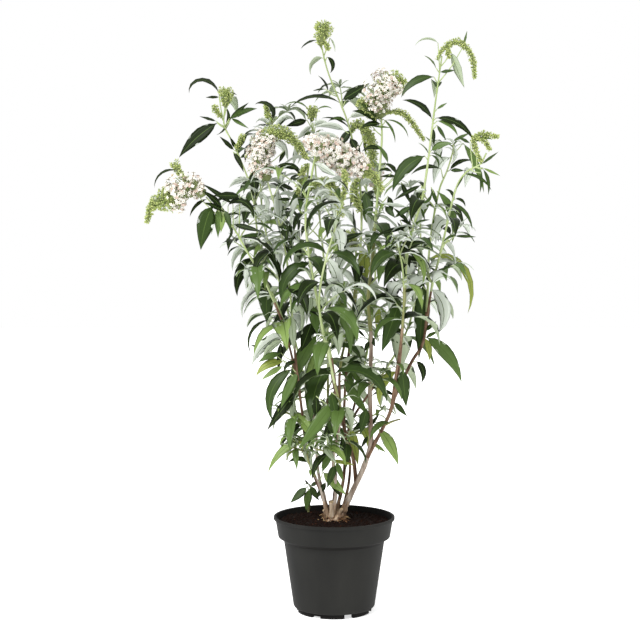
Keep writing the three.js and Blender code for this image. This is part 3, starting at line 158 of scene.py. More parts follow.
# The leaves that show most. For each, as it lies in the front view, whose units are 1/640 of its width:
# the root, a point half way along, the tip and the width; then how far its bearing leans to the front and
# its face turns to the front, in degrees, and its tint.
DARK, DEEP, MID, LIGHT, YELLOW = range(5)
SHOWN = {
    "upper_left": [
        (219, 93, 203, 79, 190, 94, 5.5, 10, 40, DARK), (219, 97, 212, 98, 206, 98, 3.5, 20, 50, DARK),
        (231, 92, 234, 93, 237, 95, 2.5, 10, 30, DARK), (216, 121, 208, 118, 200, 117, 3.5, 20, 45, DARK),
        (217, 123, 195, 135, 180, 158, 14, 15, 72, DARK), (226, 107, 230, 121, 216, 135, 4, 10, 45, DARK),
        (229, 119, 243, 110, 258, 110, 8, 20, 60, DEEP), (230, 118, 239, 110, 249, 103, 5, 10, 60, DARK),
        (231, 118, 240, 124, 249, 129, 4, 20, 60, MID), (234, 150, 227, 143, 220, 137, 5, 20, 60, DARK),
        (236, 149, 233, 143, 230, 137, 5, 10, 60, DARK), (238, 149, 243, 141, 248, 134, 5, 10, 60, DEEP),
        (240, 158, 248, 153, 256, 149, 5, 10, 60, DARK), (250, 180, 239, 178, 229, 188, 8, 10, -50, MID),
        (250, 181, 243, 184, 240, 193, 5, 20, 60, DARK), (253, 168, 256, 186, 256, 205, 10, 70, 20, DARK),
        (262, 234, 247, 236, 233, 240, 6, 20, 60, DEEP), (262, 249, 243, 245, 233, 271, 8, 10, -60, MID),
        (256, 258, 238, 272, 238, 296, 12, 35, 72, DARK), (258, 192, 269, 205, 253, 223, 6, 10, -50, MID),
        (261, 249, 277, 260, 279, 290, 6, 15, 45, DARK), (270, 320, 252, 328, 252, 355, 3.5, 10, 40, DARK),
        (277, 297, 280, 317, 259, 331, 4, 10, 45, DARK), (266, 278, 269, 300, 267, 323, 19, 75, 10, DEEP),
        (262, 288, 247, 293, 243, 318, 5, 10, -45, MID), (268, 348, 259, 346, 250, 345, 4, 10, 60, DARK),
        (286, 335, 268, 337, 252, 365, 13, 10, -60, MID), (284, 362, 267, 362, 256, 376, 9, 10, 60, YELLOW),
        (281, 342, 279, 357, 278, 372, 6, 50, 60, DARK), (283, 340, 270, 345, 262, 360, 8, 10, -60, MID),
        (233, 152, 240, 160, 244, 173, 5, 30, 60, DARK), (281, 353, 270, 354, 258, 362, 7, 15, 60, MID),
    ],
    "outer_left": [
        (207, 199, 195, 205, 190, 217, 4, 10, 50, DARK), (226, 217, 235, 212, 241, 216, 3, 10, 50, DARK),
        (240, 196, 228, 194, 214, 196, 9, 20, 60, DARK),
        (233, 204, 218, 193, 203, 184, 6, 10, 50, DARK), (228, 206, 243, 199, 254, 219, 8, 10, 55, DARK),
        (229, 218, 243, 205, 253, 218, 9, -20, -60, MID), (212, 206, 200, 228, 202, 250, 18, 55, 60, DEEP),
        (219, 206, 216, 222, 218, 238, 8, 55, 30, MID),
        (224, 211, 224, 222, 221, 233, 6, 55, 30, LIGHT),
        (231, 225, 231, 237, 222, 243, 3, 10, 40, DARK), (233, 224, 248, 227, 263, 232, 6, 20, 60, DARK),
        (178, 171, 163, 171, 155, 188, 3, 10, 50, DARK), (222, 207, 212, 196, 203, 191, 7, 15, 60, DARK),
        (226, 212, 216, 205, 204, 203, 6, 20, 60, DARK), (224, 210, 230, 219, 231, 232, 6, 40, 60, DEEP),
    ],
    "left": [
        (296, 362, 288, 362, 284, 372, 5, 15, 55, DARK), (291, 322, 284, 328, 281, 338, 8, 15, -60, MID),
        (278, 186, 276, 212, 281, 238, 10, 40, -70, MID), (282, 225, 290, 232, 297, 240, 6, 20, 60, DARK),
        (285, 240, 289, 251, 292, 262, 4, 30, 60, DARK), (298, 243, 300, 252, 300, 261, 6, 40, 60, DARK),
        (291, 313, 293, 332, 294, 351, 9, 55, -150, MID), (293, 369, 271, 382, 273, 421, 12, 15, 62, DEEP),
        (297, 391, 284, 405, 267, 430, 11, 15, 65, DARK), (292, 394, 292, 410, 292, 425, 6, 40, -150, MID),
        (304, 423, 288, 430, 281, 448, 7.5, 10, 62, DARK), (313, 438, 282, 447, 268, 472, 9, 15, 60, LIGHT),
        (309, 463, 298, 457, 288, 462, 5, 10, 50, DEEP), (323, 472, 335, 482, 346, 493, 10, 30, 65, LIGHT),
        (303, 442, 306, 455, 313, 470, 8, 45, -150, MID), (304, 428, 309, 438, 313, 447, 5, 40, 60, DARK),
        (298, 372, 287, 386, 281, 408, 11, 25, 62, MID), (326, 482, 322, 491, 316, 499, 6, 20, 60, DARK),
        (283, 366, 271, 371, 261, 380, 6, 10, 55, LIGHT),
    ],
    "centre_left": [
        (300, 170, 292, 164, 277, 170, 7, 10, 60, DARK),
        (297, 236, 291, 210, 280, 213, 4, 10, 40, DARK), (300, 176, 290, 164, 275, 169, 5, 10, 50, DARK),
        (294, 190, 286, 186, 277, 183, 5, 20, 50, DARK), (291, 199, 284, 199, 277, 200, 4, 20, 50, DARK),
        (312, 193, 335, 200, 325, 235, 10, 10, -55, MID), (321, 219, 328, 216, 334, 214, 6, 20, 60, DEEP),
        (313, 182, 301, 194, 289, 206, 13, 25, 70, DEEP), (311, 196, 317, 198, 323, 200, 6, 20, 60, DARK),
        (311, 263, 286, 271, 284, 305, 14, 15, 52, DEEP), (313, 306, 316, 320, 318, 334, 14, 65, 30, MID),
        (312, 322, 306, 336, 301, 351, 14, 55, 50, DARK), (311, 296, 310, 304, 309, 313, 11, 60, -150, MID),
        (318, 334, 298, 357, 290, 390, 15, 20, 68, MID), (319, 348, 310, 372, 304, 397, 12, 30, 65, LIGHT),
    ],
    "tall": [
        (345, 131, 330, 124, 313, 129, 6, 15, -60, MID), (341, 140, 322, 133, 303, 141, 5, 15, -55, MID),
        (349, 118, 358, 113, 369, 118, 5, 15, -55, MID), (347, 122, 338, 117, 328, 122, 4, 10, 50, DEEP),
        (317, 40, 309, 41, 301, 49, 3, 10, 35, DARK), (330, 38, 334, 43, 335, 52, 1.6, 10, -40, MID),
        (323, 58, 313, 60, 311, 75, 4.5, 15, -50, MID), (327, 57, 334, 61, 330, 73, 5, 15, 60, DARK),
        (328, 92, 325, 81, 318, 76, 3, 10, 40, DARK), (325, 89, 319, 89, 313, 91, 2.5, 10, 40, DARK),
        (340, 103, 316, 95, 291, 108, 5, 10, 40, DARK), (342, 100, 355, 92, 369, 85, 12, 25, 75, DARK),
        (348, 93, 348, 98, 348, 103, 2.5, 40, 60, DARK), (350, 129, 338, 119, 321, 119, 2.8, 10, 40, DARK),
        (350, 130, 344, 137, 338, 148, 10, 20, 65, DARK), (350, 138, 355, 147, 361, 157, 13, 30, 65, DARK),
        (364, 138, 365, 147, 366, 156, 3, 40, 60, DARK), (365, 192, 369, 207, 370, 222, 13, 65, 30, DEEP),
        (362, 210, 373, 222, 383, 235, 10, 35, 65, MID), (363, 246, 365, 266, 366, 285, 12, 70, 10, YELLOW),
        (350, 364, 358, 377, 366, 391, 9, 25, 60, MID), (357, 329, 362, 333, 366, 338, 3, 10, 50, DARK),
        (358, 326, 364, 326, 371, 326, 3.4, 10, 50, DARK),
    ],
    "back": [
        (309, 111, 298, 102, 285, 106, 2.2, 10, 40, MID), (317, 110, 325, 106, 332, 109, 2.2, 10, 40, MID),
        (307, 120, 296, 123, 286, 127, 8, 20, 65, DARK), (312, 126, 304, 130, 297, 140, 9, 20, -60, MID),
        (313, 126, 322, 121, 331, 129, 6, 15, -60, MID), (311, 130, 305, 137, 303, 147, 6, 30, 60, DEEP),
    ],
    "back_left": [
        (276, 129, 284, 117, 294, 122, 6, 15, -55, MID), (272, 131, 264, 119, 256, 124, 5, 15, -50, MID),
        (285, 150, 283, 156, 279, 163, 5, 10, 55, DARK), (266, 127, 255, 135, 247, 149, 4, 10, -50, MID),
        (268, 126, 262, 124, 258, 125, 3, 10, 50, DARK),
        (270, 120, 274, 108, 255, 105, 6, 10, 45, DARK), (277, 126, 282, 121, 288, 116, 4, 10, 60, DARK),
    ],
    "far_right": [
        (426, 191, 420, 189, 414, 193, 6, 10, -60, MID), (421, 208, 424, 214, 425, 221, 3, 10, 50, DEEP),
        (412, 228, 421, 220, 430, 220, 3.4, 10, 50, DEEP),
        (400, 220, 408, 222, 412, 229, 3.4, 10, 50, DARK),
        (405, 232, 399, 227, 397, 222, 5, 10, 60, DARK), (430, 153, 439, 155, 444, 163, 2, 10, 50, DEEP),
        (438, 43, 427, 38, 415, 46, 2, 10, -40, MID), (451, 52, 457, 66, 464, 88, 8, 20, -60, MID),
        (464, 45, 466, 38, 467, 31, 2.4, 10, 40, MID),
        (440, 72, 447, 71, 455, 71, 4, 20, 60, DEEP), (436, 68, 431, 59, 424, 56, 2.8, 10, 40, MID),
        (434, 77, 417, 77, 401, 98, 8.5, 10, 60, DEEP), (437, 109, 442, 106, 447, 103, 3, 10, 50, MID),
        (432, 119, 421, 104, 402, 101, 8, 10, 55, DARK), (436, 118, 455, 119, 473, 141, 8.5, 10, 60, DARK),
        (437, 121, 450, 124, 457, 137, 5, 20, 60, MID), (433, 128, 434, 137, 434, 146, 4, 50, 60, DARK),
        (437, 125, 442, 133, 446, 141, 4, 30, 60, DEEP), (431, 151, 441, 143, 452, 144, 7.5, 15, 65, MID),
        (429, 155, 425, 147, 418, 143, 2, 10, 40, MID), (431, 155, 438, 159, 438, 169, 3, 10, 45, DEEP),
        (425, 156, 403, 165, 392, 192, 14, 15, 65, DEEP), (408, 226, 391, 230, 375, 235, 5, 20, 50, DARK),
        (421, 185, 403, 194, 393, 201, 5, 20, 50, DARK), (401, 182, 406, 193, 411, 205, 5, 30, 60, DARK),
        (407, 207, 393, 204, 378, 203, 4, 20, -50, MID), (422, 203, 430, 200, 431, 191, 3.4, 10, 45, DEEP),
        (410, 231, 410, 224, 409, 218, 7, 20, 60, DARK), (400, 300, 389, 325, 381, 351, 17, 50, 62, DEEP),
        (404, 291, 410, 290, 416, 289, 5, 20, 50, DARK), (402, 292, 397, 284, 392, 277, 4, 10, 50, DARK),
        (408, 257, 415, 259, 422, 261, 7, 20, 60, DARK), (408, 249, 423, 260, 422, 284, 7.5, 20, 55, LIGHT),
        (402, 369, 406, 387, 406, 407, 13, 50, 40, DEEP),
        (397, 371, 380, 381, 380, 406, 10, 15, 60, YELLOW),
        (395, 397, 383, 390, 371, 396, 4, 10, 50, DARK), (394, 402, 401, 409, 407, 416, 6, 20, 60, DEEP),
        (379, 429, 391, 440, 398, 465, 12, 15, 62, LIGHT), (402, 329, 396, 331, 391, 333, 5, 20, 55, DARK),
        (411, 206, 402, 211, 394, 218, 6, 20, 60, DEEP), (409, 222, 400, 216, 393, 208, 5, 20, 55, DARK),
    ],
    "right_green": [
        (434, 234, 441, 235, 440, 240, 2.4, 10, 45, DEEP),
        (453, 141, 461, 137, 470, 133, 4, 10, 50, MID), (463, 143, 475, 160, 483, 193, 7.5, 25, 62, MID),
        (452, 145, 457, 152, 451, 164, 5, 20, -50, MID), (450, 170, 457, 161, 472, 161, 5, 10, 55, DARK),
        (450, 170, 457, 170, 464, 171, 4.5, 20, 60, DEEP), (441, 169, 427, 165, 411, 175, 5, 10, 45, DARK),
        (431, 187, 435, 197, 438, 208, 4, 30, 60, DEEP), (437, 191, 453, 210, 451, 244, 9, 20, 60, MID),
        (434, 220, 438, 219, 441, 218, 1, 10, 45, DEEP), (440, 218, 436, 226, 433, 234, 6, 30, 65, MID),
        (430, 237, 426, 242, 423, 248, 5, 20, 60, DARK), (424, 282, 419, 320, 418, 359, 16, 65, 30, DEEP),
        (420, 282, 411, 293, 402, 304, 3.5, 10, -40, MID),
        (428, 261, 460, 264, 467, 313, 9, 10, 50, YELLOW),
        (427, 265, 438, 272, 448, 280, 2.6, 10, 45, DEEP), (425, 281, 430, 276, 434, 270, 4, 10, 45, DEEP),
        (426, 337, 447, 349, 461, 382, 14, 15, 64, MID), (425, 338, 431, 350, 429, 361, 7, 25, 62, YELLOW),
        (416, 361, 424, 366, 421, 383, 7, 25, 60, DARK),
        (425, 331, 431, 327, 436, 321, 5, 20, 60, DEEP), (426, 337, 433, 335, 438, 331, 5, 20, 55, MID),
    ],
    "outer_right": [
        (464, 176, 458, 184, 456, 190, 1.6, 10, 40, DEEP),
        (482, 164, 490, 158, 498, 152, 3, 10, 50, DEEP), (483, 168, 492, 172, 500, 176, 3, 10, 50, LIGHT),
        (464, 174, 479, 176, 491, 191, 4, 10, 50, DEEP), (453, 201, 453, 192, 445, 190, 6, 20, 60, DARK),
        (455, 199, 463, 200, 465, 207, 3.5, 10, 50, DARK),
        (453, 203, 466, 211, 472, 230, 4.5, 10, 50, DEEP),
        (455, 236, 466, 236, 476, 237, 3.4, 10, 45, DEEP), (456, 235, 449, 236, 443, 242, 3, 10, 45, DEEP),
        (431, 289, 448, 301, 438, 333, 20, 20, -68, MID), (436, 271, 445, 268, 454, 266, 2.6, 10, 45, DEEP),
        (476, 142, 483, 137, 492, 140, 4, 10, 50, MID), (483, 169, 489, 181, 488, 195, 4, 20, 55, DEEP),
        (481, 173, 482, 183, 480, 193, 3, 30, 50, DEEP), (470, 143, 464, 139, 457, 137, 4, 10, 50, DEEP),
    ],
    "right": [
        (378, 124, 366, 112, 352, 112, 7, 15, 62, DARK), (380, 121, 368, 106, 357, 103, 6, 15, 62, DEEP),
        (381, 124, 372, 122, 360, 129, 6, 15, 60, DARK), (382, 150, 372, 146, 362, 152, 5, 15, 60, DARK),
        (388, 196, 392, 203, 392, 214, 6, 30, 60, DARK),
        (371, 418, 362, 426, 352, 430, 9, 15, 60, DARK), (368, 436, 364, 441, 361, 448, 4, 10, 50, DARK),
        (396, 176, 388, 175, 380, 177, 4, 10, 50, DARK), (392, 172, 384, 168, 378, 172, 4, 10, 50, DARK),
        (396, 174, 391, 164, 384, 164, 5, 10, 60, DARK), (388, 163, 384, 151, 375, 144, 5, 10, 60, MID),
        (383, 119, 392, 128, 395, 143, 3, 10, 40, MID), (386, 120, 401, 124, 408, 138, 2.6, 10, 40, MID),
        (372, 126, 382, 127, 391, 128, 3, 10, 40, MID), (385, 206, 390, 212, 395, 218, 6.5, 30, 65, DEEP),
        (361, 296, 358, 309, 357, 322, 9, 50, -150, MID), (379, 307, 377, 318, 376, 330, 6, 50, 50, YELLOW),
        (367, 408, 364, 421, 360, 434, 12, 40, 60, DEEP), (368, 383, 372, 386, 377, 389, 2.4, 10, 45, DARK),
        (371, 336, 373, 342, 375, 347, 8, 40, 50, DARK), (369, 341, 366, 346, 364, 352, 4.5, 30, 60, DARK),
        (373, 443, 380, 447, 386, 452, 4, 20, 55, LIGHT), (371, 425, 375, 420, 379, 414, 5, 20, 55, DARK),
    ],
    "front": [
        (340, 240, 352, 236, 364, 233, 6, 20, 50, DARK), (325, 257, 341, 279, 332, 306, 13, 15, -60, MID),
        (333, 302, 349, 322, 350, 354, 12, 25, 60, MID), (315, 163, 325, 170, 337, 177, 8, 30, -60, MID),
    ],
    "centre": [
        (354, 256, 342, 251, 331, 258, 8, 10, 55, DARK), (340, 356, 359, 364, 377, 373, 7, 15, 55, DARK),
        (343, 379, 356, 397, 369, 416, 10, 25, 60, MID), (351, 428, 355, 446, 358, 465, 10, 50, 45, YELLOW),
        (357, 236, 352, 222, 353, 208, 7, 40, 60, DARK), (355, 246, 344, 240, 340, 230, 6, 20, -60, MID),
    ],
    "front_right": [
        (392, 232, 388, 237, 385, 248, 5, 15, 60, DARK), (396, 237, 394, 242, 391, 248, 4, 10, 60, DARK),
        (396, 303, 390, 300, 383, 298, 3, 10, 50, DARK), (400, 247, 383, 251, 371, 269, 3.5, 10, 45, DARK),
    ],
    "low_front": [
        (342, 434, 344, 447, 335, 458, 6, 15, 50, DARK), (334, 420, 326, 428, 323, 438, 9, 25, 60, DARK),
        (330, 452, 325, 462, 322, 472, 8, 30, 60, MID),
        (316, 396, 317, 408, 317, 421, 10, 65, 10, DARK), (331, 392, 335, 406, 337, 420, 11, 60, 10, DEEP),
        (331, 460, 343, 462, 355, 464, 4, 15, 55, YELLOW), (330, 453, 326, 460, 321, 468, 8, 30, 60, MID),
        (336, 400, 317, 423, 298, 447, 14, 35, 70, MID), (322, 443, 330, 452, 337, 463, 6, 30, -150, MID),
        (327, 419, 331, 431, 338, 441, 6, 40, 60, DEEP), (335, 464, 331, 475, 327, 488, 8, 30, 60, DEEP),
        (336, 462, 341, 470, 343, 481, 6, 40, 50, MID), (331, 486, 337, 489, 341, 497, 4, 30, 50, DARK),
    ],
    "sucker": [
        (307, 487, 298, 495, 290, 503, 8, 10, 62, DEEP), (309, 489, 307, 500, 306, 511, 9, 50, 50, MID),
        (310, 486, 315, 493, 319, 500, 8, 30, 60, DEEP), (309, 485, 307, 482, 304, 479, 6, 20, 60, DARK),
        (310, 486, 315, 483, 321, 480, 7, 20, 60, DEEP),
    ],
}
# The shoots whose upper parts those leaves draw in full
# The shoots whose top leaves are all given by SHOWN, apart from some that point backward
DRAWN_TOPS = {
    "centre_left", "front", "upper_left", "outer_left", "tall",
    "far_right", "right_green", "outer_right", "right",
}
# The flower heads that show most: a path as (across, down, depth, width) in the front view and the share in
# flower.
PLUMES = {
    "outer_left": [([(206, 195, -86, 16), (193, 189, -88, 34), (178, 195, -92, 29), (161, 201, -94, 16),
        (151, 207, -92, 9), (147, 222, -88, 4)], 0.4), ([(193, 189, -88, 5), (180, 173, -80, 8),
        (174, 164, -74, 10)], 0)],
    "left": [([(269, 181, -35, 18), (262, 166, -34, 27), (263, 147, -32, 23), (270, 135, -32, 15),
        (283, 133, -34, 13), (296, 143, -36, 9), (307, 159, -38, 4)], 0.42)],
    "front": [([(305, 138, -100, 14), (318, 146, -112, 30), (340, 157, -118, 28), (357, 166, -120, 18),
        (372, 175, -120, 9), (383, 190, -118, 4)], 0.66)],
    "right": [([(381, 119, 42, 20), (379, 104, 42, 35), (385, 90, 40, 30), (395, 80, 38, 17),
        (405, 84, 36, 6)], 0.68), ([(380, 114, 42, 4), (390, 112, 40, 6), (402, 113, 38, 8),
        (413, 124, 36, 6), (424, 140, 34, 3)], 0), ([(381, 118, 42, 5), (371, 115, 42, 11),
        (364, 106, 42, 12), (361, 99, 42, 7)], 0)],
    "far_right": [([(437, 60, -30, 2.5), (441, 52, -30, 5), (448, 45, -30, 8), (458, 42, -30, 8),
        (467, 48, -32, 6), (473, 60, -33, 6), (475, 78, -34, 3)], 0), ([(448, 46, -30, 3),
        (448, 52, -34, 6), (449, 58, -36, 3)], 0)],
    "outer_right": [([(482, 164, -86, 4), (476, 150, -86, 6), (474, 138, -86, 7), (484, 134, -88, 6),
        (498, 137, -90, 4)], 0), ([(474, 138, -86, 4), (484, 141, -88, 5), (490, 150, -88, 3)], 0)],
    "tall": [([(321, 47, 45, 8), (321, 41, 45, 15), (323, 33, 45, 18), (323, 24, 45, 12)], 0),
        ([(322, 41, 45, 5), (327, 45, 42, 6), (328, 50, 40, 4)], 0), ([(350, 134, 88, 6),
        (356, 125, 84, 13), (366, 131, 80, 14), (371, 146, 76, 12), (373, 167, 74, 6)], 0),
        ([(361, 176, 96, 4), (355, 184, 90, 9), (355, 196, 86, 10), (360, 211, 84, 5)], 0)],
    "upper_left": [([(225, 108, 60, 9), (226, 99, 60, 16), (226, 90, 60, 11)], 0), ([(222, 118, 60, 5),
        (217, 112, 58, 7), (214, 106, 56, 5)], 0), ([(236, 150, 54, 4), (240, 142, 50, 7),
        (243, 135, 48, 5)], 0)],
    "centre_left": [([(308, 163, -62, 6), (303, 172, -66, 9), (300, 186, -68, 8), (299, 202, -68, 4)], 0),
        ([(307, 190, -62, 5), (325, 181, -70, 12), (337, 196, -76, 12), (341, 216, -78, 6)], 0)],
    "centre": [([(356, 250, 50, 8), (352, 240, 46, 18), (350, 232, 44, 10)], 0)],
    "back": [([(312, 122, 182, 7), (312, 115, 182, 13), (313, 107, 182, 8)], 0)],
    "low_front": [([(343, 200, -188, 5), (345, 184, -190, 9), (344, 170, -190, 5)], 0)],
}
# The crown's outline in the front view, as (down, left, right), and the largest gaps inside it, as (across,
# down, radius), where the twigs keep away.
REACH = [(20, 313, 332), (52, 300, 478), (84, 190, 478), (120, 186, 500), (160, 160, 500), (200, 146, 494),
         (240, 195, 475), (262, 230, 475), (300, 238, 474), (340, 246, 456), (380, 258, 462), (402, 268, 412),
         (440, 266, 400), (470, 266, 398), (500, 290, 362)]
SKY = [
    (378, 24, 48), (272, 68, 36), (230, 68, 20), (213, 168, 18), (440, 24, 18), (480, 112, 16),
    (460, 98, 12), (164, 234, 20), (214, 262, 15), (465, 248, 13), (484, 208, 13), (464, 322, 13),
    (440, 392, 22), (401, 427, 12), (382, 474, 17), (284, 478, 16), (266, 441, 11), (366, 350, 10),
    (387, 353, 12), (404, 147, 9), (343, 69, 9),
]
# name, cane, fraction, azimuth, length, leaf length, first azimuth
LOW_SHOOTS = [
    ("low_left", "left", 0.3, 170, 46, 92, 60),
    ("low_left_front", "left", 0.2, 225, 40, 88, 10),
    ("low_centre", "centre", 0.16, 250, 42, 78, 80),
    ("low_right", "far_right", 0.09, 330, 34, 76, 30),
    ("low_right_inner", "right", 0.33, 285, 38, 72, 60),
    ("low_back_left", "back_left", 0.2, 130, 46, 84, 20),
    ("low_back", "back", 0.2, 80, 46, 84, 70),
    ("low_back_right", "back_right", 0.22, 20, 46, 84, 0),
    ("low_front_left", "low_front", 0.2, 215, 44, 84, 45),
]
SUCKER = [(-46, 62, 154), (-42, 56, 186), (-41, 52, 208)]
SIDE_CANE = ((-11, -12, 165), [(-26, -26, 223), (-42, -38, 258), (-47, -44, 281)], (2.6, 1.4))
SIDE_CANE_BARE = 0.62
LOW_RISES = (34, 12)
LOW_DROOP = 74
LOW_RADII = (2, 1.3)
INTERNODE_LOW = 62
INTERNODE_TOP = 40
LOW_INTERNODE = 17
FIRST_NODE = 14
SIDE_TWIG_LENGTH = 58
LEAF_ASPECT = 0.145
HEAD_SINK = 5
# The height up to which a shoot has turned brown
RIPE_HEIGHT = {None: 400, "right": 660, "far_right": 560, "front_right": 560, "centre": 600, "tall": 560}
RISE_WITH_HEIGHT = 0.05
SHOWN_SLACK = 0.27
WIDEST_ASPECT = 0.19
UNEVEN_BENDS = (0.5, 0.7, 1.0, 1.4, 2.0)

# How the rule's leaves and twigs vary: lengths in millimetres or as shares of a leaf's, angles in degrees,
# and a pair of numbers for the two ends of a range
STEM_END = 4
LARGE_LEAF = 60
LEAF_SIZES = (0.8, 1.14)
LEAF_RISES = (-6, 46)
LEVEL_HEIGHT = 520
DROOP_SPREAD = 22
PAIR_SPREAD = 36
SWEEP_SPREAD = 40
ASPECT_SHARES = (1.15, 0.9)
LOW_LEAF_SHARE = 0.6
LOW_LEAF_HEIGHT = 260
LOW_LEAF_SPAN = 170
SMALL_ASPECT = 0.1
TIP_ASPECT = 0.09
TWIG_ASPECT = 0.12
THIN_TWIG = (1.1, 0.7)
SIDE_TWIG = (1.5, 0.8)
TUFT_PICK = 0.68
TUFT_TURN = 20
TUFT_REACHES = (0.08, 0.3)
TUFT_RISES = (66, 50)
TUFT_SIZES = (0.26, 0.48)
TWIG_PICK = 0.7
TWIG_TURN = 40
TWIG_REACHES = (0.7, 1.2)
TWIG_RISES = (58, 22)
TWIG_SIZES = (0.55, 0.8)
TWIG_END_SIZES = (0.2, 0.34)
TIP_RISE = 52
TIP_SIZES = (0.5, 0.34)
# The shares up to which a pick gives each tint but the last, high up and low down, the height where the
# change from one to the other begins, and how far down it goes on
HIGH_TINTS = [0.45, 0.7, 0.84, 1.06]
LOW_TINTS = [0.05, 0.3, 0.7, 0.96]
HIGH_TINT_HEIGHT = 720
TINT_SPAN = 360
FRONT_ROLL = -46
BACK_ROLL = -12
ROLL_SPREAD = 34
# Where the rule's leaves make way for those of SHOWN
ACROSS_PART = 0.6
BACKWARD_PART = 0.25
DRAWN_TOP_START = 0.62
THINNED_SHARE = 0.3
# In pixels of the front view: how far from its shoot a leaf has a twig, and how far it may cross a gap's rim
FRONT_TWIG_APART = 1.2
SKY_SLACK = 2
# In millimetres: how near a leaf may come to bark, and how far it may pass the solids' box
BARK_CLEARANCE = 1.5
BOX_SLACK = 6
SHORTENED = 0.84
SHORTEN_ROUNDS = 4
BEND_STEPS = 24


def mix(low, high, share):
    return low + (high - low) * share


def chance(shoot, node, draw):
    """A repeatable number from 0 to 1 for one place on one shoot, the same as in the solids."""
    wave = math.sin(shoot * 12.9898 + node * 78.233 + draw * 37.719) * 43758.5453
    return wave - math.floor(wave)


# ---------------------------------------------------------------------------
# Paths
# ---------------------------------------------------------------------------
class Path:
    """A smooth path through points, measured by its length."""

    def __init__(self, points, fine=12):
        knots = np.array(points, float)
        ends = np.vstack([2 * knots[0] - knots[1], knots, 2 * knots[-1] - knots[-2]])
        runs = []
        steps = np.linspace(0, 1, fine, endpoint=False)[:, None]
        for before, start, end, after in zip(ends, ends[1:], ends[2:], ends[3:]):
            lead = 0.5 * (end - before)
            trail = 0.5 * (after - start)
            cubic = 2 * start - 2 * end + lead + trail
            square = -3 * start + 3 * end - 2 * lead - trail
            runs.append(start + lead * steps + square * steps**2 + cubic * steps**3)
        self.points = np.vstack(runs + [knots[-1:]])
        spans = np.linalg.norm(np.diff(self.points, axis=0), axis=1)
        self.marks = np.concatenate([[0], np.cumsum(spans)])
        self.length = self.marks[-1]

    def at(self, share):
        """The point, or points, at a share of the length."""
        where = np.clip(share, 0, 1) * self.length
        return np.stack([np.interp(where, self.marks, self.points[:, k]) for k in range(3)], axis=-1)

    def way(self, share):
        """The unit direction at a share of the length."""
        step = self.at(share + 0.01) - self.at(share - 0.01)
        return step / np.linalg.norm(step)

    def part(self, start, end, count=12):
        return Path(self.at(np.linspace(start, end, count + 1)))

    def spaced(self, step):
        return self.at(np.linspace(0, 1, max(2, int(math.ceil(self.length / step))) + 1))


def arch(root, azimuth, length, rise, fall, count=6):
    """A path on one bearing whose slope turns evenly from one elevation to another."""
    points = [np.array(root, float)]
    bearing = math.radians(azimuth)
    for step in range(count):
        slope = math.radians(mix(rise, fall, (step + 0.5) / count))
        run = math.cos(slope)
        move = np.array([math.cos(bearing) * run, math.sin(bearing) * run, math.sin(slope)])
        points.append(points[-1] + move * length / count)
    return Path(points)


# ---------------------------------------------------------------------------
# The front view
# ---------------------------------------------------------------------------
def front_view(points):
    """Where points, in millimetres, show in the front view."""
    points = np.asarray(points, float)
    tilt = math.radians(CAMERA_TILT)
    x, y, z = points[..., 0] - CAMERA_SIDE, points[..., 1] + CAMERA_AWAY, points[..., 2] - CAMERA_HEIGHT
    ahead = y * math.cos(tilt) - z * math.sin(tilt)
    down = -y * math.sin(tilt) - z * math.cos(tilt)
    middle = VIEW_WIDTH / 2
    return np.stack([middle + VIEW_FOCUS * x / ahead, middle + VIEW_FOCUS * down / ahead], axis=-1)


def seen_at(across, down, depth):
    """The point at a depth that shows at a place of the front view."""
    tilt = math.radians(CAMERA_TILT)
    u = (across - VIEW_WIDTH / 2) / VIEW_FOCUS
    v = (down - VIEW_WIDTH / 2) / VIEW_FOCUS
    reach = (depth + CAMERA_AWAY) / (math.cos(tilt) - v * math.sin(tilt))
    climb = -math.sin(tilt) - v * math.cos(tilt)
    return np.array([CAMERA_SIDE + u * reach, depth, CAMERA_HEIGHT + climb * reach])


# ---------------------------------------------------------------------------
# Meshes
# ---------------------------------------------------------------------------
class Shape:
    """Points and faces gathered from many parts, with a finish number on each face."""

    def __init__(self):
        self.points = []
        self.faces = {3: [], 4: []}
        self.finish = {3: [], 4: []}
        self.count = 0

    def add(self, points, faces, finish=0):
        """faces is an array of three or four point numbers a row."""
        points = np.asarray(points, float).reshape(-1, 3)
        faces = np.asarray(faces, int)
        if faces.size:
            corners = faces.shape[1]
            self.faces[corners].append(faces + self.count)
            self.finish[corners].append(np.broadcast_to(finish, len(faces)))
        if len(points):
            self.points.append(points)
        return self

    def close(self):
        """Ends one part, so that the next one's face numbers start after its points."""
        self.count = sum(len(block) for block in self.points)

    def build(self, name, finishes, smooth=True):
        points = np.vstack(self.points) * MM
        mesh = bpy.data.meshes.new(name)
        rows = [np.vstack(self.faces[n]) for n in (3, 4) if self.faces[n]]
        marks = np.concatenate([np.concatenate(self.finish[n]) for n in (3, 4) if self.faces[n]])
        totals = np.concatenate([np.full(len(block), block.shape[1]) for block in rows])
        corners = np.concatenate([block.ravel() for block in rows])
        mesh.vertices.add(len(points))
        mesh.vertices.foreach_set("co", points.astype(np.float32).ravel())
        mesh.loops.add(len(corners))
        mesh.loops.foreach_set("vertex_index", corners.astype(np.int32))
        mesh.polygons.add(len(totals))
        starts = np.concatenate([[0], np.cumsum(totals)[:-1]])
        mesh.polygons.foreach_set("loop_start", starts.astype(np.int32))
        mesh.polygons.foreach_set("material_index", marks.astype(np.int32))
        mesh.polygons.foreach_set("use_smooth", np.full(len(totals), smooth))
        mesh.update(calc_edges=True)
        mesh.validate()
        for material in finishes:
            mesh.materials.append(material)
        piece = bpy.data.objects.new(name, mesh)
        bpy.context.scene.collection.objects.link(piece)
        return piece


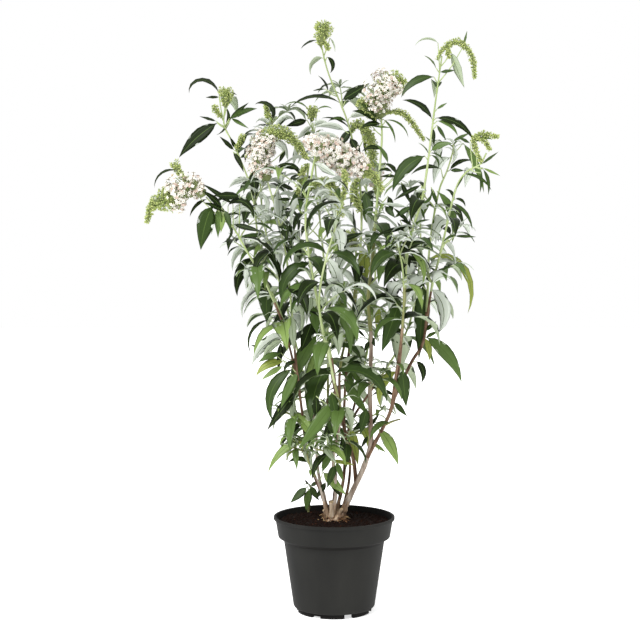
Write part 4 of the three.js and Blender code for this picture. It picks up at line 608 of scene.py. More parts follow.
def frames_along(points):
    """Two unit vectors across a path at each of its points, carried along without twist."""
    ways = np.gradient(points, axis=0)
    ways /= np.linalg.norm(ways, axis=1)[:, None]
    side = np.cross(ways[0], (0.3, 1.0, 0.1))
    side /= np.linalg.norm(side)
    sides = []
    for way in ways:
        side = side - way * np.dot(side, way)
        side /= np.linalg.norm(side)
        sides.append(side.copy())
    sides = np.array(sides)
    return sides, np.cross(ways, sides)


def band(sides, low, high, flip=False):
    """The quads between two rings of points, from the number of the first point of each."""
    here = np.arange(sides)
    after = (here + 1) % sides
    rows = (low + here, low + after, high + after, high + here)
    return np.stack((rows[0], rows[3], rows[2], rows[1]) if flip else rows, axis=1)


def fan(sides, start, centre, flip=False):
    """The triangles between a ring of points and its centre."""
    here = start + np.arange(sides)
    after = start + (np.arange(sides) + 1) % sides
    rows = (here, after) if flip else (after, here)
    return np.stack([*rows, np.full(sides, centre)], axis=1)


def tube(shape, points, radii, sides, finish=0):
    """A closed tube. The radii are one a point, or a row a point where it is ridged."""
    across, over = frames_along(points)
    turn = np.linspace(0, 2 * math.pi, sides, endpoint=False)
    radii = np.asarray(radii, float)
    if radii.ndim == 1:
        radii = np.repeat(radii[:, None], sides, axis=1)
    rings = points[:, None] + radii[..., None] * (
        np.cos(turn)[None, :, None] * across[:, None] + np.sin(turn)[None, :, None] * over[:, None]
    )
    spans = len(points) - 1
    walls = [band(sides, k * sides, (k + 1) * sides) for k in range(spans)]
    ends = len(points) * sides
    caps = np.concatenate([fan(sides, 0, ends), fan(sides, spans * sides, ends + 1, flip=True)])
    marks = np.broadcast_to(finish, spans)
    everything = np.vstack([rings.reshape(-1, 3), points[:1], points[-1:]])
    shape.add(everything, np.vstack(walls), np.repeat(marks, sides))
    shape.add([], caps, np.repeat(marks[[0, -1]], sides))
    shape.close()


# ---------------------------------------------------------------------------
# Finishes
# ---------------------------------------------------------------------------
def linear(colour):
    """A screen colour of 0 to 255 as the shader's linear one."""
    part = np.array(colour, float) / 255
    low = part / 12.92
    high = ((part + 0.055) / 1.055) ** 2.4
    return (*np.where(part <= 0.04045, low, high), 1.0)


class Finish:
    """A Principled material whose nodes are added one at a time."""

    def __init__(self, name, colour, roughness, specular=0.5, sheen=0.0):
        self.material = bpy.data.materials.new(name)
        self.material.use_nodes = True
        self.tree = self.material.node_tree
        self.shader = self.tree.nodes["Principled BSDF"]
        self.shader.inputs["Base Color"].default_value = linear(colour)
        self.shader.inputs["Roughness"].default_value = roughness
        self.shader.inputs["Specular IOR Level"].default_value = specular
        self.shader.inputs["Sheen Weight"].default_value = sheen

    def node(self, kind, **values):
        made = self.tree.nodes.new(kind)
        for name, value in values.items():
            if name in made.inputs:
                made.inputs[name].default_value = value
            else:
                setattr(made, name, value)
        return made

    def link(self, start, end):
        self.tree.links.new(start, end)

    def coordinates(self, stretch=(1, 1, 1)):
        place = self.node("ShaderNodeTexCoord")
        mapping = self.node("ShaderNodeMapping")
        mapping.inputs["Scale"].default_value = stretch
        self.link(place.outputs["Object"], mapping.inputs["Vector"])
        return mapping.outputs["Vector"]

    def grain(self, scale, detail=4, stretch=(1, 1, 1), roughness=0.55):
        made = self.node("ShaderNodeTexNoise", Scale=scale, Detail=detail, Roughness=roughness)
        self.link(self.coordinates(stretch), made.inputs["Vector"])
        return made.outputs["Fac"]

    def ramp(self, factor, stops):
        """stops: (place, screen colour) pairs."""
        made = self.node("ShaderNodeValToRGB")
        band = made.color_ramp
        while len(band.elements) < len(stops):
            band.elements.new(0.5)
        for element, (place, colour) in zip(band.elements, stops):
            element.position = place
            element.color = linear(colour)
        self.link(factor, made.inputs["Fac"])
        return made.outputs["Color"]

    def paint(self, colour):
        self.link(colour, self.shader.inputs["Base Color"])

    def bump(self, factor, strength, distance):
        made = self.node("ShaderNodeBump", Strength=strength, Distance=distance)
        self.link(factor, made.inputs["Height"])
        self.link(made.outputs["Normal"], self.shader.inputs["Normal"])


def pot_finish():
    made = Finish("pot_plastic", (35, 35, 33), 0.6, specular=0.08)
    tone = made.grain(9, detail=3, stretch=(1, 1, 0.35))
    made.paint(made.ramp(tone, [(0.35, (30, 30, 29)), (0.65, (40, 40, 38))]))
    made.bump(made.grain(900, detail=2), 0.14, 0.0003)
    return made.material


def shaded_finish():
    """The pot's inside and foot, and the ledge under its band, in a duller and darker copy of the plastic:
    painted shade.
    """
    made = Finish("pot_painted_shade", (18, 17, 16), 0.7, specular=0.12)
    made.paint(made.ramp(made.grain(14, detail=3), [(0.35, (14, 13, 12)), (0.65, (22, 21, 19))]))
    return made.material


def soil_finish(name, low, high, scale):
    made = Finish(name, low, 0.95, specular=0.1)
    made.paint(made.ramp(made.grain(scale, detail=6), [(0.35, low), (0.7, high)]))
    made.bump(made.grain(scale * 3, detail=5), 0.6, 0.001)
    return made.material


def bark_finish(name, darkest, dark, pale, palest):
    made = Finish(name, dark, 0.85, specular=0.25)
    streaks = made.grain(70, detail=6, stretch=(1, 1, 0.12), roughness=0.62)
    made.paint(made.ramp(streaks, [(0.32, darkest), (0.44, dark), (0.55, pale), (0.7, palest)]))
    made.bump(made.grain(260, detail=4, stretch=(1, 1, 0.25)), 0.7, 0.0006)
    return made.material


def cut_wood_finish():
    made = Finish("cut_wood", (196, 172, 130), 0.8, specular=0.25)
    made.paint(made.ramp(made.grain(300, detail=3), [(0.3, (168, 140, 100)), (0.7, (206, 186, 148))]))
    return made.material


def shoot_finish(name, low, high):
    made = Finish(name, low, 0.55, specular=0.35, sheen=0.2)
    made.paint(made.ramp(made.grain(40, detail=3, stretch=(1, 1, 0.2)), [(0.35, low), (0.65, high)]))
    made.bump(made.grain(600, detail=2), 0.2, 0.0003)
    return made.material


def leaf_finish(name, colour, roughness=0.5, specular=0.3, sheen=0.0, depth=0.2):
    made = Finish(name, colour, roughness, specular, sheen)
    made.bump(made.grain(160, detail=2), depth, 0.0003)
    return made.material


# ---------------------------------------------------------------------------
# The bush's plan: limbs, stems, leaves, twigs and heads
# ---------------------------------------------------------------------------
def lay_out_shoots():
    laid = {}
    for index, row in enumerate(SHOOTS):
        name, carrier, origin, via, bare, radii, leaf, turn, droop, head = row
        start = laid[carrier]["path"].at(origin) if carrier else np.array(origin, float)
        path = Path([start, *via])
        joint = mix(radii[0], radii[1], bare)
        laid[name] = dict(
            name=name, index=index, path=path, bare=bare, radii=radii, carrier=carrier, leaf=leaf, turn=turn,
            droop=droop, head=head, limb=path.part(0, bare), limb_radii=(radii[0], joint),
            stem=path.part(bare, 1), stem_radii=(joint, radii[1]), internode=None,
        )
    return laid


def lay_out_low(laid):
    rows = []
    for row, (name, cane, place, azimuth, length, leaf, turn) in enumerate(LOW_SHOOTS):
        carrier = laid[cane]
        away = arch(carrier["path"].at(place), azimuth, length, *LOW_RISES)
        rows.append(dict(
            name=name, index=len(SHOOTS) + row, stem=away, stem_radii=LOW_RADII, leaf=(leaf, leaf),
            turn=turn, droop=LOW_DROOP, head=None, internode=LOW_INTERNODE,
        ))
    return rows


def lay_out_small(side_path):
    first = len(SHOOTS) + len(LOW_SHOOTS)
    sucker = dict(
        name="sucker", index=first, stem=Path(SUCKER), stem_radii=(1.8, 1.2),
        leaf=(44, 40), turn=20, droop=50, head=None, internode=None,
    )
    tuft = dict(
        name="side_tuft", index=first + 1, stem=side_path.part(SIDE_CANE_BARE, 1), stem_radii=(2.1, 1.3),
        leaf=(46, 40), turn=75, droop=55, head=None, internode=None,
    )
    return [sucker, tuft]


LAID = lay_out_shoots()
SIDE_PATH = Path([SIDE_CANE[0], *SIDE_CANE[1]])
MASSES = [*LAID.values(), *lay_out_low(LAID), *lay_out_small(SIDE_PATH)]
MASS_NODES = [f"leaves_{mass['name']}" for mass in MASSES]
LIMBS = [(f"cane_{shoot['name']}", shoot["limb"], shoot["limb_radii"]) for shoot in LAID.values()]
LIMBS.append(("cane_side", SIDE_PATH.part(0, SIDE_CANE_BARE), SIDE_CANE[2]))

PALE_CANES = ("cane_right", "cane_back_left", "cane_low_front", "cane_side")

# Leaf tints, by spray
TINTS = ["dark", "deep", "mid", "light", "yellow"]


class Foliage:
    """Every leaf of the bush as one row of numbers."""

    def __init__(self):
        self.rows = []

    def leaf(self, root, azimuth, length, rise, fall, tint, aspect=LEAF_ASPECT, roll=0.0, sweep=0.0,
             small=False, shown=False, uneven=1.0):
        shape = (azimuth, length, rise, fall, aspect, roll, sweep)
        self.rows.append((*root, *shape, tint, small, shown, uneven))

    def table(self):
        return np.array(self.rows, float)


def tint_for(mass, node, draw, height):
    """High sprays are mostly dark, low ones lighter and greener, and now and then a leaf low down is yellow.
    """
    pick = chance(mass["index"], node, draw)
    low = np.clip((HIGH_TINT_HEIGHT - height) / TINT_SPAN, 0, 1)
    shares = mix(np.array(HIGH_TINTS), np.array(LOW_TINTS), low)
    return int(np.searchsorted(shares, pick))


def outward_roll(root, azimuth, pick):
    """A leaf that crosses the way out turns its face outward."""
    bearing = math.atan2(root[1], root[0])
    turn = math.radians(azimuth)
    lean = math.sin(turn) * math.cos(bearing) - math.cos(turn) * math.sin(bearing)
    return (FRONT_ROLL if root[1] < 0 else BACK_ROLL) * lean + ROLL_SPREAD * (pick - 0.5)


def room_for(mass, share, azimuth, pick):
    """Thins the rule's leaves where the leaves that show most already lie across the view."""
    if mass["name"] not in SHOWN:
        return True
    across = abs(math.cos(math.radians(azimuth))) > ACROSS_PART
    backward = math.sin(math.radians(azimuth)) > BACKWARD_PART
    if share > DRAWN_TOP_START and mass["name"] in DRAWN_TOPS:
        return backward and not across
    return not across or pick > THINNED_SHARE


def grow(mass, foliage, twigs):
    """Leaf pairs, tufts in their axils and side twigs along one stem, each pair turned a quarter."""
    stem = mass["stem"]
    index = mass["index"]
    large = mass["leaf"][0] > LARGE_LEAF
    along = FIRST_NODE
    node = 0
    while along < stem.length - STEM_END:
        share = along / stem.length
        root = stem.at(share)
        grown = np.clip((root[2] - LOW_LEAF_HEIGHT) / LOW_LEAF_SPAN, 0, 1)
        size = mix(mass["leaf"][0], mass["leaf"][1], share) * mix(LOW_LEAF_SHARE, 1, grown)
        for half in (0, 1):
            draw = half * 10
            azimuth = mass["turn"] + 90 * node + 180 * half + PAIR_SPREAD * (chance(index, node, draw) - 0.5)
            if not room_for(mass, share, azimuth, chance(index, node, draw + 12)):
                continue
            rise = mix(*LEAF_RISES, chance(index, node, draw + 2))
            foliage.leaf(
                root, azimuth, size * mix(*LEAF_SIZES, chance(index, node, draw + 1)),
                rise + RISE_WITH_HEIGHT * (root[2] - LEVEL_HEIGHT),
                -mass["droop"] - DROOP_SPREAD * chance(index, node, draw + 3),
                tint_for(mass, node, draw + 6, root[2]), aspect=LEAF_ASPECT * mix(*ASPECT_SHARES, share),
                roll=outward_roll(root, azimuth, chance(index, node, draw + 7)),
                sweep=SWEEP_SPREAD * (chance(index, node, draw + 8) - 0.5),
            )
            if large and chance(index, node, draw + 9) > TUFT_PICK:
                grow_tuft(mass, foliage, twigs, root, azimuth, size, node, draw + 20)
            side_twig(mass, foliage, twigs, root, azimuth, size, node, draw, large)
        along += mass["internode"] or mix(INTERNODE_LOW, INTERNODE_TOP, share)
        node += 1


def grow_tuft(mass, foliage, twigs, root, azimuth, size, node, draw):
    """A short shoot in a leaf's axil with two pairs of small leaves."""
    index = mass["index"]
    reach = size * mix(*TUFT_REACHES, chance(index, node, draw))
    way = azimuth + TUFT_TURN
    path = arch(root, way, reach, *TUFT_RISES, count=3)
    twigs.append((path, *THIN_TWIG))
    for pair in range(2):
        for half in (0, 1):
            pick = chance(index, node, draw + 1 + pair * 2 + half)
            fall = mix(10, -60, chance(index, node, draw + 6 + half))
            foliage.leaf(
                path.at(0.5 + 0.5 * pair), way + 90 * pair + 180 * half + 30 * (pick - 0.5),
                size * mix(*TUFT_SIZES, pick), mix(45, 75, pick), fall,
                MID if pick < 0.5 else LIGHT, aspect=SMALL_ASPECT, small=True,
            )


def side_twig(mass, foliage, twigs, root, azimuth, size, node, draw, large):
    """A side twig with pairs of middling leaves and a tuft at its end."""
    index = mass["index"]
    if not large or chance(index, node, draw + 4) <= TWIG_PICK:
        return
    reach = SIDE_TWIG_LENGTH * mix(*TWIG_REACHES, chance(index, node, draw + 5))
    way = azimuth + TWIG_TURN
    path = arch(root, way, reach, *TWIG_RISES)
    twigs.append((path, *SIDE_TWIG))
    for place, turn in ((0.55, 75), (0.55, -75), (0.94, 20), (0.94, -60), (1.0, 120)):
        pick = chance(index, node, draw + 30 + turn)
        foliage.leaf(
            path.at(place), way + turn, size * mix(*TWIG_SIZES, pick), mix(10, 50, pick), -mix(45, 80, pick),
            tint_for(mass, node, draw + 40 + turn, root[2]), aspect=TWIG_ASPECT,
            roll=50 * (pick - 0.5), sweep=30 * (0.5 - pick),
        )
    for turn in (0, 90, 180, 270):
        pick = chance(index, node, draw + 50 + turn)
        foliage.leaf(
            path.at(1.0), way + turn, size * mix(*TWIG_END_SIZES, pick), 70, mix(30, -20, pick), LIGHT,
            aspect=SMALL_ASPECT, small=True,
        )


def tip_leaves(mass, foliage):
    """The close pairs of small leaves round a shoot's tip."""
    if mass["name"] in PLUMES:
        return
    stem = mass["stem"]
    for pair in range(3):
        for half in (0, 1):
            pick = chance(mass["index"], 90 + pair, half)
            foliage.leaf(
                stem.at(1 - 0.02 * pair), mass["turn"] + 90 * pair + 180 * half + 40 * pick,
                mass["leaf"][1] * mix(*TIP_SIZES, pair / 2), TIP_RISE, mix(-20, -70, pick),
                MID if pick < 0.5 else LIGHT, aspect=TIP_ASPECT, small=True,
            )


def bent_through(middle, end):
    """The length, slopes and unevenness of a bend from (0, 0) to the end that is half way at the middle."""
    steps = (np.arange(BEND_STEPS) + 0.5) / BEND_STEPS
    bends = np.radians(np.arange(-150, 211, 6))
    uneven, bend = (grid.reshape(-1, 1) for grid in np.meshgrid(UNEVEN_BENDS, bends))
    slopes = -bend * steps ** uneven
    across, up = (np.cumsum(part, axis=1) / BEND_STEPS for part in (np.cos(slopes), np.sin(slopes)))
    chord = np.hypot(across[:, -1], up[:, -1])
    scale = math.hypot(*end) / np.maximum(chord, 0.2)
    turn = math.atan2(end[1], end[0]) - np.arctan2(up[:, -1], across[:, -1])
    x, y, c, s = across[:, BEND_STEPS // 2 - 1], up[:, BEND_STEPS // 2 - 1], np.cos(turn), np.sin(turn)
    half = np.stack([x * c - y * s, x * s + y * c], axis=1) * scale[:, None]
    miss = np.linalg.norm(half - middle, axis=1) + 1.2 * np.abs(bend[:, 0]) + 2 * np.abs(np.log(uneven[:, 0]))
    best = miss.argmin()
    rise = math.degrees(turn[best])
    return scale[best], rise, rise - math.degrees(bend[best, 0]), uneven[best, 0]


def shown_part(azimuth, slope, roll):
    """The share of a blade's width that shows from the front half way along it."""
    bearing, slope, roll = math.radians(azimuth), math.radians(slope), math.radians(roll)
    run = math.cos(slope)
    way = np.array([run * math.cos(bearing), run * math.sin(bearing), math.sin(slope)])
    side = np.array([math.sin(bearing), -math.cos(bearing), 0])
    across = side * math.cos(roll) + np.cross(side, way) * math.sin(roll)
    along = way[[0, 2]] / max(1e-6, np.linalg.norm(way[[0, 2]]))
    return max(0.4, abs(across[0] * along[1] - across[2] * along[0]))


def shown_leaves(mass, foliage, twigs):
    """The leaves that show most, each worked back from the front view to its place on the shoot."""
    whole = mass.get("path", mass["stem"])
    shares = np.linspace(0, 1, 240)
    line = whole.at(shares)
    seen = front_view(line)
    for number, (x0, y0, x1, y1, x2, y2, width, toward, turn, tint) in enumerate(SHOWN.get(mass["name"], [])):
        apart = np.hypot(seen[:, 0] - x0, seen[:, 1] - y0)
        nearest = apart.argmin()
        depth = line[nearest, 1]
        root = seen_at(x0, y0, depth)
        scale = VIEW_FOCUS / (depth + CAMERA_AWAY)
        if apart[nearest] > FRONT_TWIG_APART:
            below = max(0.0, shares[nearest] - apart[nearest] / scale * 1.1 / whole.length)
            start = whole.at(below)
            middle = (start + root) / 2 + np.array([0, -2.0, -0.12 * apart[nearest] / scale])
            twigs.append((Path([start, middle, root]), *THIN_TWIG))
        to_right = (x1 - x0) + (x2 - x0) * 0.5 >= 0
        azimuth = -toward if to_right else 180 + toward
        run = scale * math.cos(math.radians(azimuth))
        away = np.array([x0 + x2 - 2 * x1, y0 + y2 - 2 * y1]) / 2
        away *= min(1.0, SHOWN_SLACK * width / max(1e-6, np.linalg.norm(away)))
        middle = ((x1 + away[0] - x0) / run, (y0 - y1 - away[1]) / scale)
        length, rise, fall, uneven = bent_through(middle, ((x2 - x0) / run, (y0 - y2) / scale))
        roll = -turn if to_right else turn
        half = width / 2 / scale / shown_part(azimuth, mix(rise, fall, 0.5 ** uneven), roll)
        foliage.leaf(
            root, azimuth, length, rise, fall, tint, aspect=min(WIDEST_ASPECT, half / length), roll=roll,
            sweep=8 * (chance(mass["index"], number, 70) - 0.5), shown=True, uneven=uneven,
        )


def clear_of_limbs(table):
    """Keeps the leaves whose outer half passes no cane closer than its bark."""
    canes = np.vstack([limb.spaced(8) for _, limb, _ in LIMBS])
    widths = np.concatenate([
        np.linspace(radii[0], radii[1], len(limb.spaced(8))) for _, limb, radii in LIMBS
    ])
    ribs = rib_points(table, np.array([0, 0.35, 0.55, 0.75, 1.0]))[:, 1:]
    keep = table[:, 12] > 0.5
    clear = np.ones(len(table), bool)
    for column in range(ribs.shape[1]):
        apart = np.linalg.norm(ribs[:, column, None] - canes[None], axis=2) - widths
        clear &= apart.min(axis=1) > BARK_CLEARANCE
    return table[keep | clear]


def out_of_view(table, shares):
    """Which leaves pass the crown's outline in the front view, or cross one of its gaps."""
    seen = front_view(rib_points(table, shares))
    rows = np.array(REACH, float)
    left = np.interp(seen[..., 1], rows[:, 0], rows[:, 1])
    right = np.interp(seen[..., 1], rows[:, 0], rows[:, 2])
    out = (seen[..., 0] < left) | (seen[..., 0] > right)
    for across, down, radius in SKY:
        out |= np.hypot(seen[..., 0] - across, seen[..., 1] - down) < radius - SKY_SLACK
    return out[:, 1:].any(axis=1)


def within_reach(table):
    """Shortens the leaves that pass the crown's outline or the solids' box, and drops what still does."""
    low = np.array(CAD_BOX[0]) / MM - BOX_SLACK
    high = np.array(CAD_BOX[1]) / MM + BOX_SLACK
    shares = np.linspace(0, 1, 9)
    shown = table[:, 12] > 0.5

    def passes():
        ribs = rib_points(table, shares)
        return ((ribs < low) | (ribs > high)).any(axis=(1, 2)) | out_of_view(table, shares)

    for _ in range(SHORTEN_ROUNDS):
        table[passes() & ~shown, 4] *= SHORTENED
    above = rib_points(table, shares)[:, :, 2].min(axis=1) > SOIL_TOP_Z + 2
    return table[shown | (~passes() & above)]


# ---------------------------------------------------------------------------
# Leaves
# ---------------------------------------------------------------------------
LARGE_STATIONS = np.array([0, 0.05, 0.13, 0.24, 0.36, 0.5, 0.64, 0.78, 0.9, 1.0])
LARGE_WIDTHS = np.array([0.06, 0.12, 0.55, 0.88, 1.0, 0.93, 0.74, 0.46, 0.2, 0.0])
LARGE_COLUMNS = np.array([-1, -0.55, -0.05, 0.05, 0.55, 1])
SMALL_STATIONS = np.array([0, 0.15, 0.4, 0.7, 1.0])
SMALL_WIDTHS = np.array([0.12, 0.6, 1.0, 0.66, 0.0])
SMALL_COLUMNS = np.array([-1, 0, 1.0])
BLADE_THICKNESS = 0.35
RIB_DEPTH = 0.45
FOLD = 0.32
# Undersides take a darker copy of the felt as painted shade: always below the first height, less often up to
# the second, and again above the last, at the sunlit top.
SHADED_FELT_HEIGHT = (390, 700)
SUNLIT_FELT_HEIGHT = 860
SATIN = {"dark": 0.12, "deep": 0.2, "mid": 0.3, "light": 0.3, "yellow": 0.3}
ROLL_HELD = 0.75
SHOWN_ROLL_HELD = 0.6
SHOWN_FLATNESS = 0.8
WAVE_RATE = 17
WAVE_SIZE = 0.07


def rib_ways(table, shares):
    """Each leaf's direction along its rib at the given shares of its length."""
    azimuth = np.radians(table[:, 3, None] + table[:, 9, None] * shares)
    rise, fall = table[:, 5], table[:, 6]
    slope = np.radians(rise[:, None] + (fall - rise)[:, None] * shares ** table[:, 13, None])
    return azimuth, np.stack(
        [np.cos(slope) * np.cos(azimuth), np.cos(slope) * np.sin(azimuth), np.sin(slope)], axis=-1)


def rib_points(table, shares):
    """Each leaf's rib, as points at the given shares of its length."""
    middle = (shares[1:] + shares[:-1]) / 2
    _, ways = rib_ways(table, middle)
    moves = ways * (np.diff(shares)[None, :, None] * table[:, 4, None, None])
    start = table[:, None, :3]
    return np.concatenate([start, start + np.cumsum(moves, axis=1)], axis=1)


def blades(table, stations, widths, columns):
    """Points, faces and finish numbers (0 above, 1 below, 2 the rib) of closed, folded, arched leaves."""
    azimuth, ways = rib_ways(table, stations)
    ribs = rib_points(table, stations)
    side = np.stack([np.sin(azimuth), -np.cos(azimuth), np.zeros_like(azimuth)], axis=-1)
    over = np.cross(side, ways)
    shown = table[:, 12, None]
    held = (1 - stations) * (ROLL_HELD - SHOWN_ROLL_HELD * shown)
    roll = np.radians(table[:, 8, None] * (1 - held))[..., None]
    across = side * np.cos(roll) + over * np.sin(roll)
    above = over * np.cos(roll) - side * np.sin(roll)
    half = (table[:, 4] * table[:, 7])[:, None] * widths
    wave = np.sin(stations * WAVE_RATE + table[:, 3, None]) * WAVE_SIZE
    rows = stations.size - 1
    tops = []
    for column in columns:
        lift = abs(column) * half * (FOLD * (1 - SHOWN_FLATNESS * shown) + np.sign(column) * wave)
        tops.append(ribs + across * (column * half)[..., None] + above * lift[..., None])
    tops = np.stack(tops, axis=2)[:, :rows]
    inner = columns[1:-1]
    depth = BLADE_THICKNESS + RIB_DEPTH * (np.abs(inner) < 0.2)
    bottoms = tops[:, :, 1:-1] - above[:, :rows, None] * depth[None, None, :, None]
    points = np.concatenate([tops, bottoms], axis=2)
    wide, ring = columns.size, columns.size * 2 - 2
    tips = ribs[:, -1]
    per_leaf = rows * ring + 1
    everything = np.concatenate([points.reshape(len(table), -1, 3), tips[:, None]], axis=1)

    under = [0, *range(wide, ring), wide - 1]
    quads, quad_finish, tris, tri_finish = [], [], [], []
    for row in range(rows):
        here, there = row * ring, (row + 1) * ring
        for k in range(wide - 1):
            rib = 2 if wide > 3 and k == (wide - 2) // 2 else 0
            top = (k, k + 1)
            low = (under[k + 1], under[k])
            for (a, b), mark in ((top, rib), (low, 2 if rib else 1)):
                if row < rows - 1:
                    quads.append((here + a, here + b, there + b, there + a))
                    quad_finish.append(mark)
                else:
                    tris.append((here + a, here + b, rows * ring))
                    tri_finish.append(mark)
    for k in range(wide - 1):
        a, b, c, d = k, k + 1, under[k + 1], under[k]
        tris += [(b, a, c)] if c != b else []
        tris += [(a, d, c)] if a != d else []
    tri_finish += [1] * (len(tris) - len(tri_finish))
    return everything, per_leaf, (np.array(quads), quad_finish), (np.array(tris), tri_finish)


def add_leaves(shape, table, stations, widths, columns, shaded_felt):
    """Adds leaves to a shape, their undersides in the pale felt or in its darker copy, which is painted
    shade.
    """
    if not len(table):
        return
    points, per_leaf, quads, tris = blades(table, stations, widths, columns)
    starts = np.arange(len(table)) * per_leaf
    under = 3 if shaded_felt else 1
    marks = [np.tile(np.where(np.array(rows[1]) == 1, under, rows[1]), len(table)) for rows in (quads, tris)]
    shape.add(points, (quads[0][None] + starts[:, None, None]).reshape(-1, 4), marks[0])
    shape.add([], (tris[0][None] + starts[:, None, None]).reshape(-1, 3), marks[1])
    shape.close()


def leaf_pieces(table):
    under = leaf_finish("leaf_felt", (208, 215, 203), 0.8, 0.1)
    # The darker copy of the underside felt is painted shade, not a different felt.
    painted_shade_felt = leaf_finish("leaf_felt_painted_shade", (166, 178, 150), 0.8, 0.1)
    rib = leaf_finish("leaf_rib", (74, 96, 42), 0.6, 0.2)
    colours = {"dark": (26, 38, 11), "deep": (48, 68, 25), "mid": (78, 102, 45), "light": (116, 139, 70),
               "yellow": (136, 148, 64)}
    picks = np.modf(np.abs(np.sin(table[:, 3] * 12.99 + table[:, 2] * 78.2)) * 43758.5)[0]
    # Which leaves get the painted-shade felt: more of them the lower they grow, and all of them at the sunlit
    # top.
    shaded_felt = picks > (table[:, 2] - SHADED_FELT_HEIGHT[0]) / (SHADED_FELT_HEIGHT[1] - SHADED_FELT_HEIGHT[0])
    shaded_felt |= table[:, 2] > SUNLIT_FELT_HEIGHT
    pieces = []
    for tint, name in enumerate(TINTS):
        shape = Shape()
        # The second round holds the leaves whose undersides take the painted-shade felt.
        for faded_and_shaded in (0, 1):
            mine = table[(table[:, 10] == tint) & (shaded_felt == faded_and_shaded)]
            add_leaves(shape, mine[mine[:, 11] < 0.5], LARGE_STATIONS, LARGE_WIDTHS, LARGE_COLUMNS, faded_and_shaded)
            add_leaves(shape, mine[mine[:, 11] > 0.5], SMALL_STATIONS, SMALL_WIDTHS, SMALL_COLUMNS, faded_and_shaded)
        top = leaf_finish(f"leaf_{name}", colours[name], 0.45, SATIN[name])
        pieces.append(shape.build(f"foliage_{name}", [top, under, rib, painted_shade_felt]))
    return pieces


# ---------------------------------------------------------------------------
# Wood
# ---------------------------------------------------------------------------
FIRST_KNOT = 34
KNOT_APART = 64
KNOT_SWELL = 0.13
KNOT_REACH = 4
FLARE_REACH = 12
NODE_SWELL = 0.3
NODE_REACH = 3
# Ridges round a cane, their height as a share of its radius, and over how many millimetres they drift
RIDGES = ((2, 0.05, 70), (5, 0.035, 34), (9, 0.025, 19))


def ridged(path, radii, seed, sides=20, step=4.0, flare=0.35, knots=()):
    """Ring points and ridged radii of a barked limb: flared foot, low ridges and swellings at its knots."""
    points = path.spaced(step)
    along = np.linspace(0, path.length, len(points))
    base = mix(radii[0], radii[1], along / path.length) * (1 + flare * np.exp(-along / FLARE_REACH))
    for knot in knots:
        base = base * (1 + KNOT_SWELL * np.exp(-((along - knot) / KNOT_REACH) ** 2))
    turn = np.linspace(0, 2 * math.pi, sides, endpoint=False)
    relief = np.zeros((len(points), sides))
    for wave, (count, size, drift) in enumerate(RIDGES):
        shift = 6.28 * chance(seed, wave, 1) + along[:, None] / drift
        relief += size * np.sin(count * turn[None] + shift)
    relief += 0.03 * np.sin(along[:, None] / 5.3 + 2 * np.sin(turn[None] * 3 + seed))
    return points, base[:, None] * (1 + relief)


def cane_piece(pale_bark, dark_bark):
    shape = Shape()
    for seed, (name, limb, radii) in enumerate(LIMBS):
        knots = np.arange(FIRST_KNOT, limb.length, KNOT_APART)
        points, relief = ridged(limb, radii, seed, knots=knots)
        tube(shape, points, relief, relief.shape[1], finish=0 if name in PALE_CANES else 1)
    return shape.build("canes", [pale_bark, dark_bark])


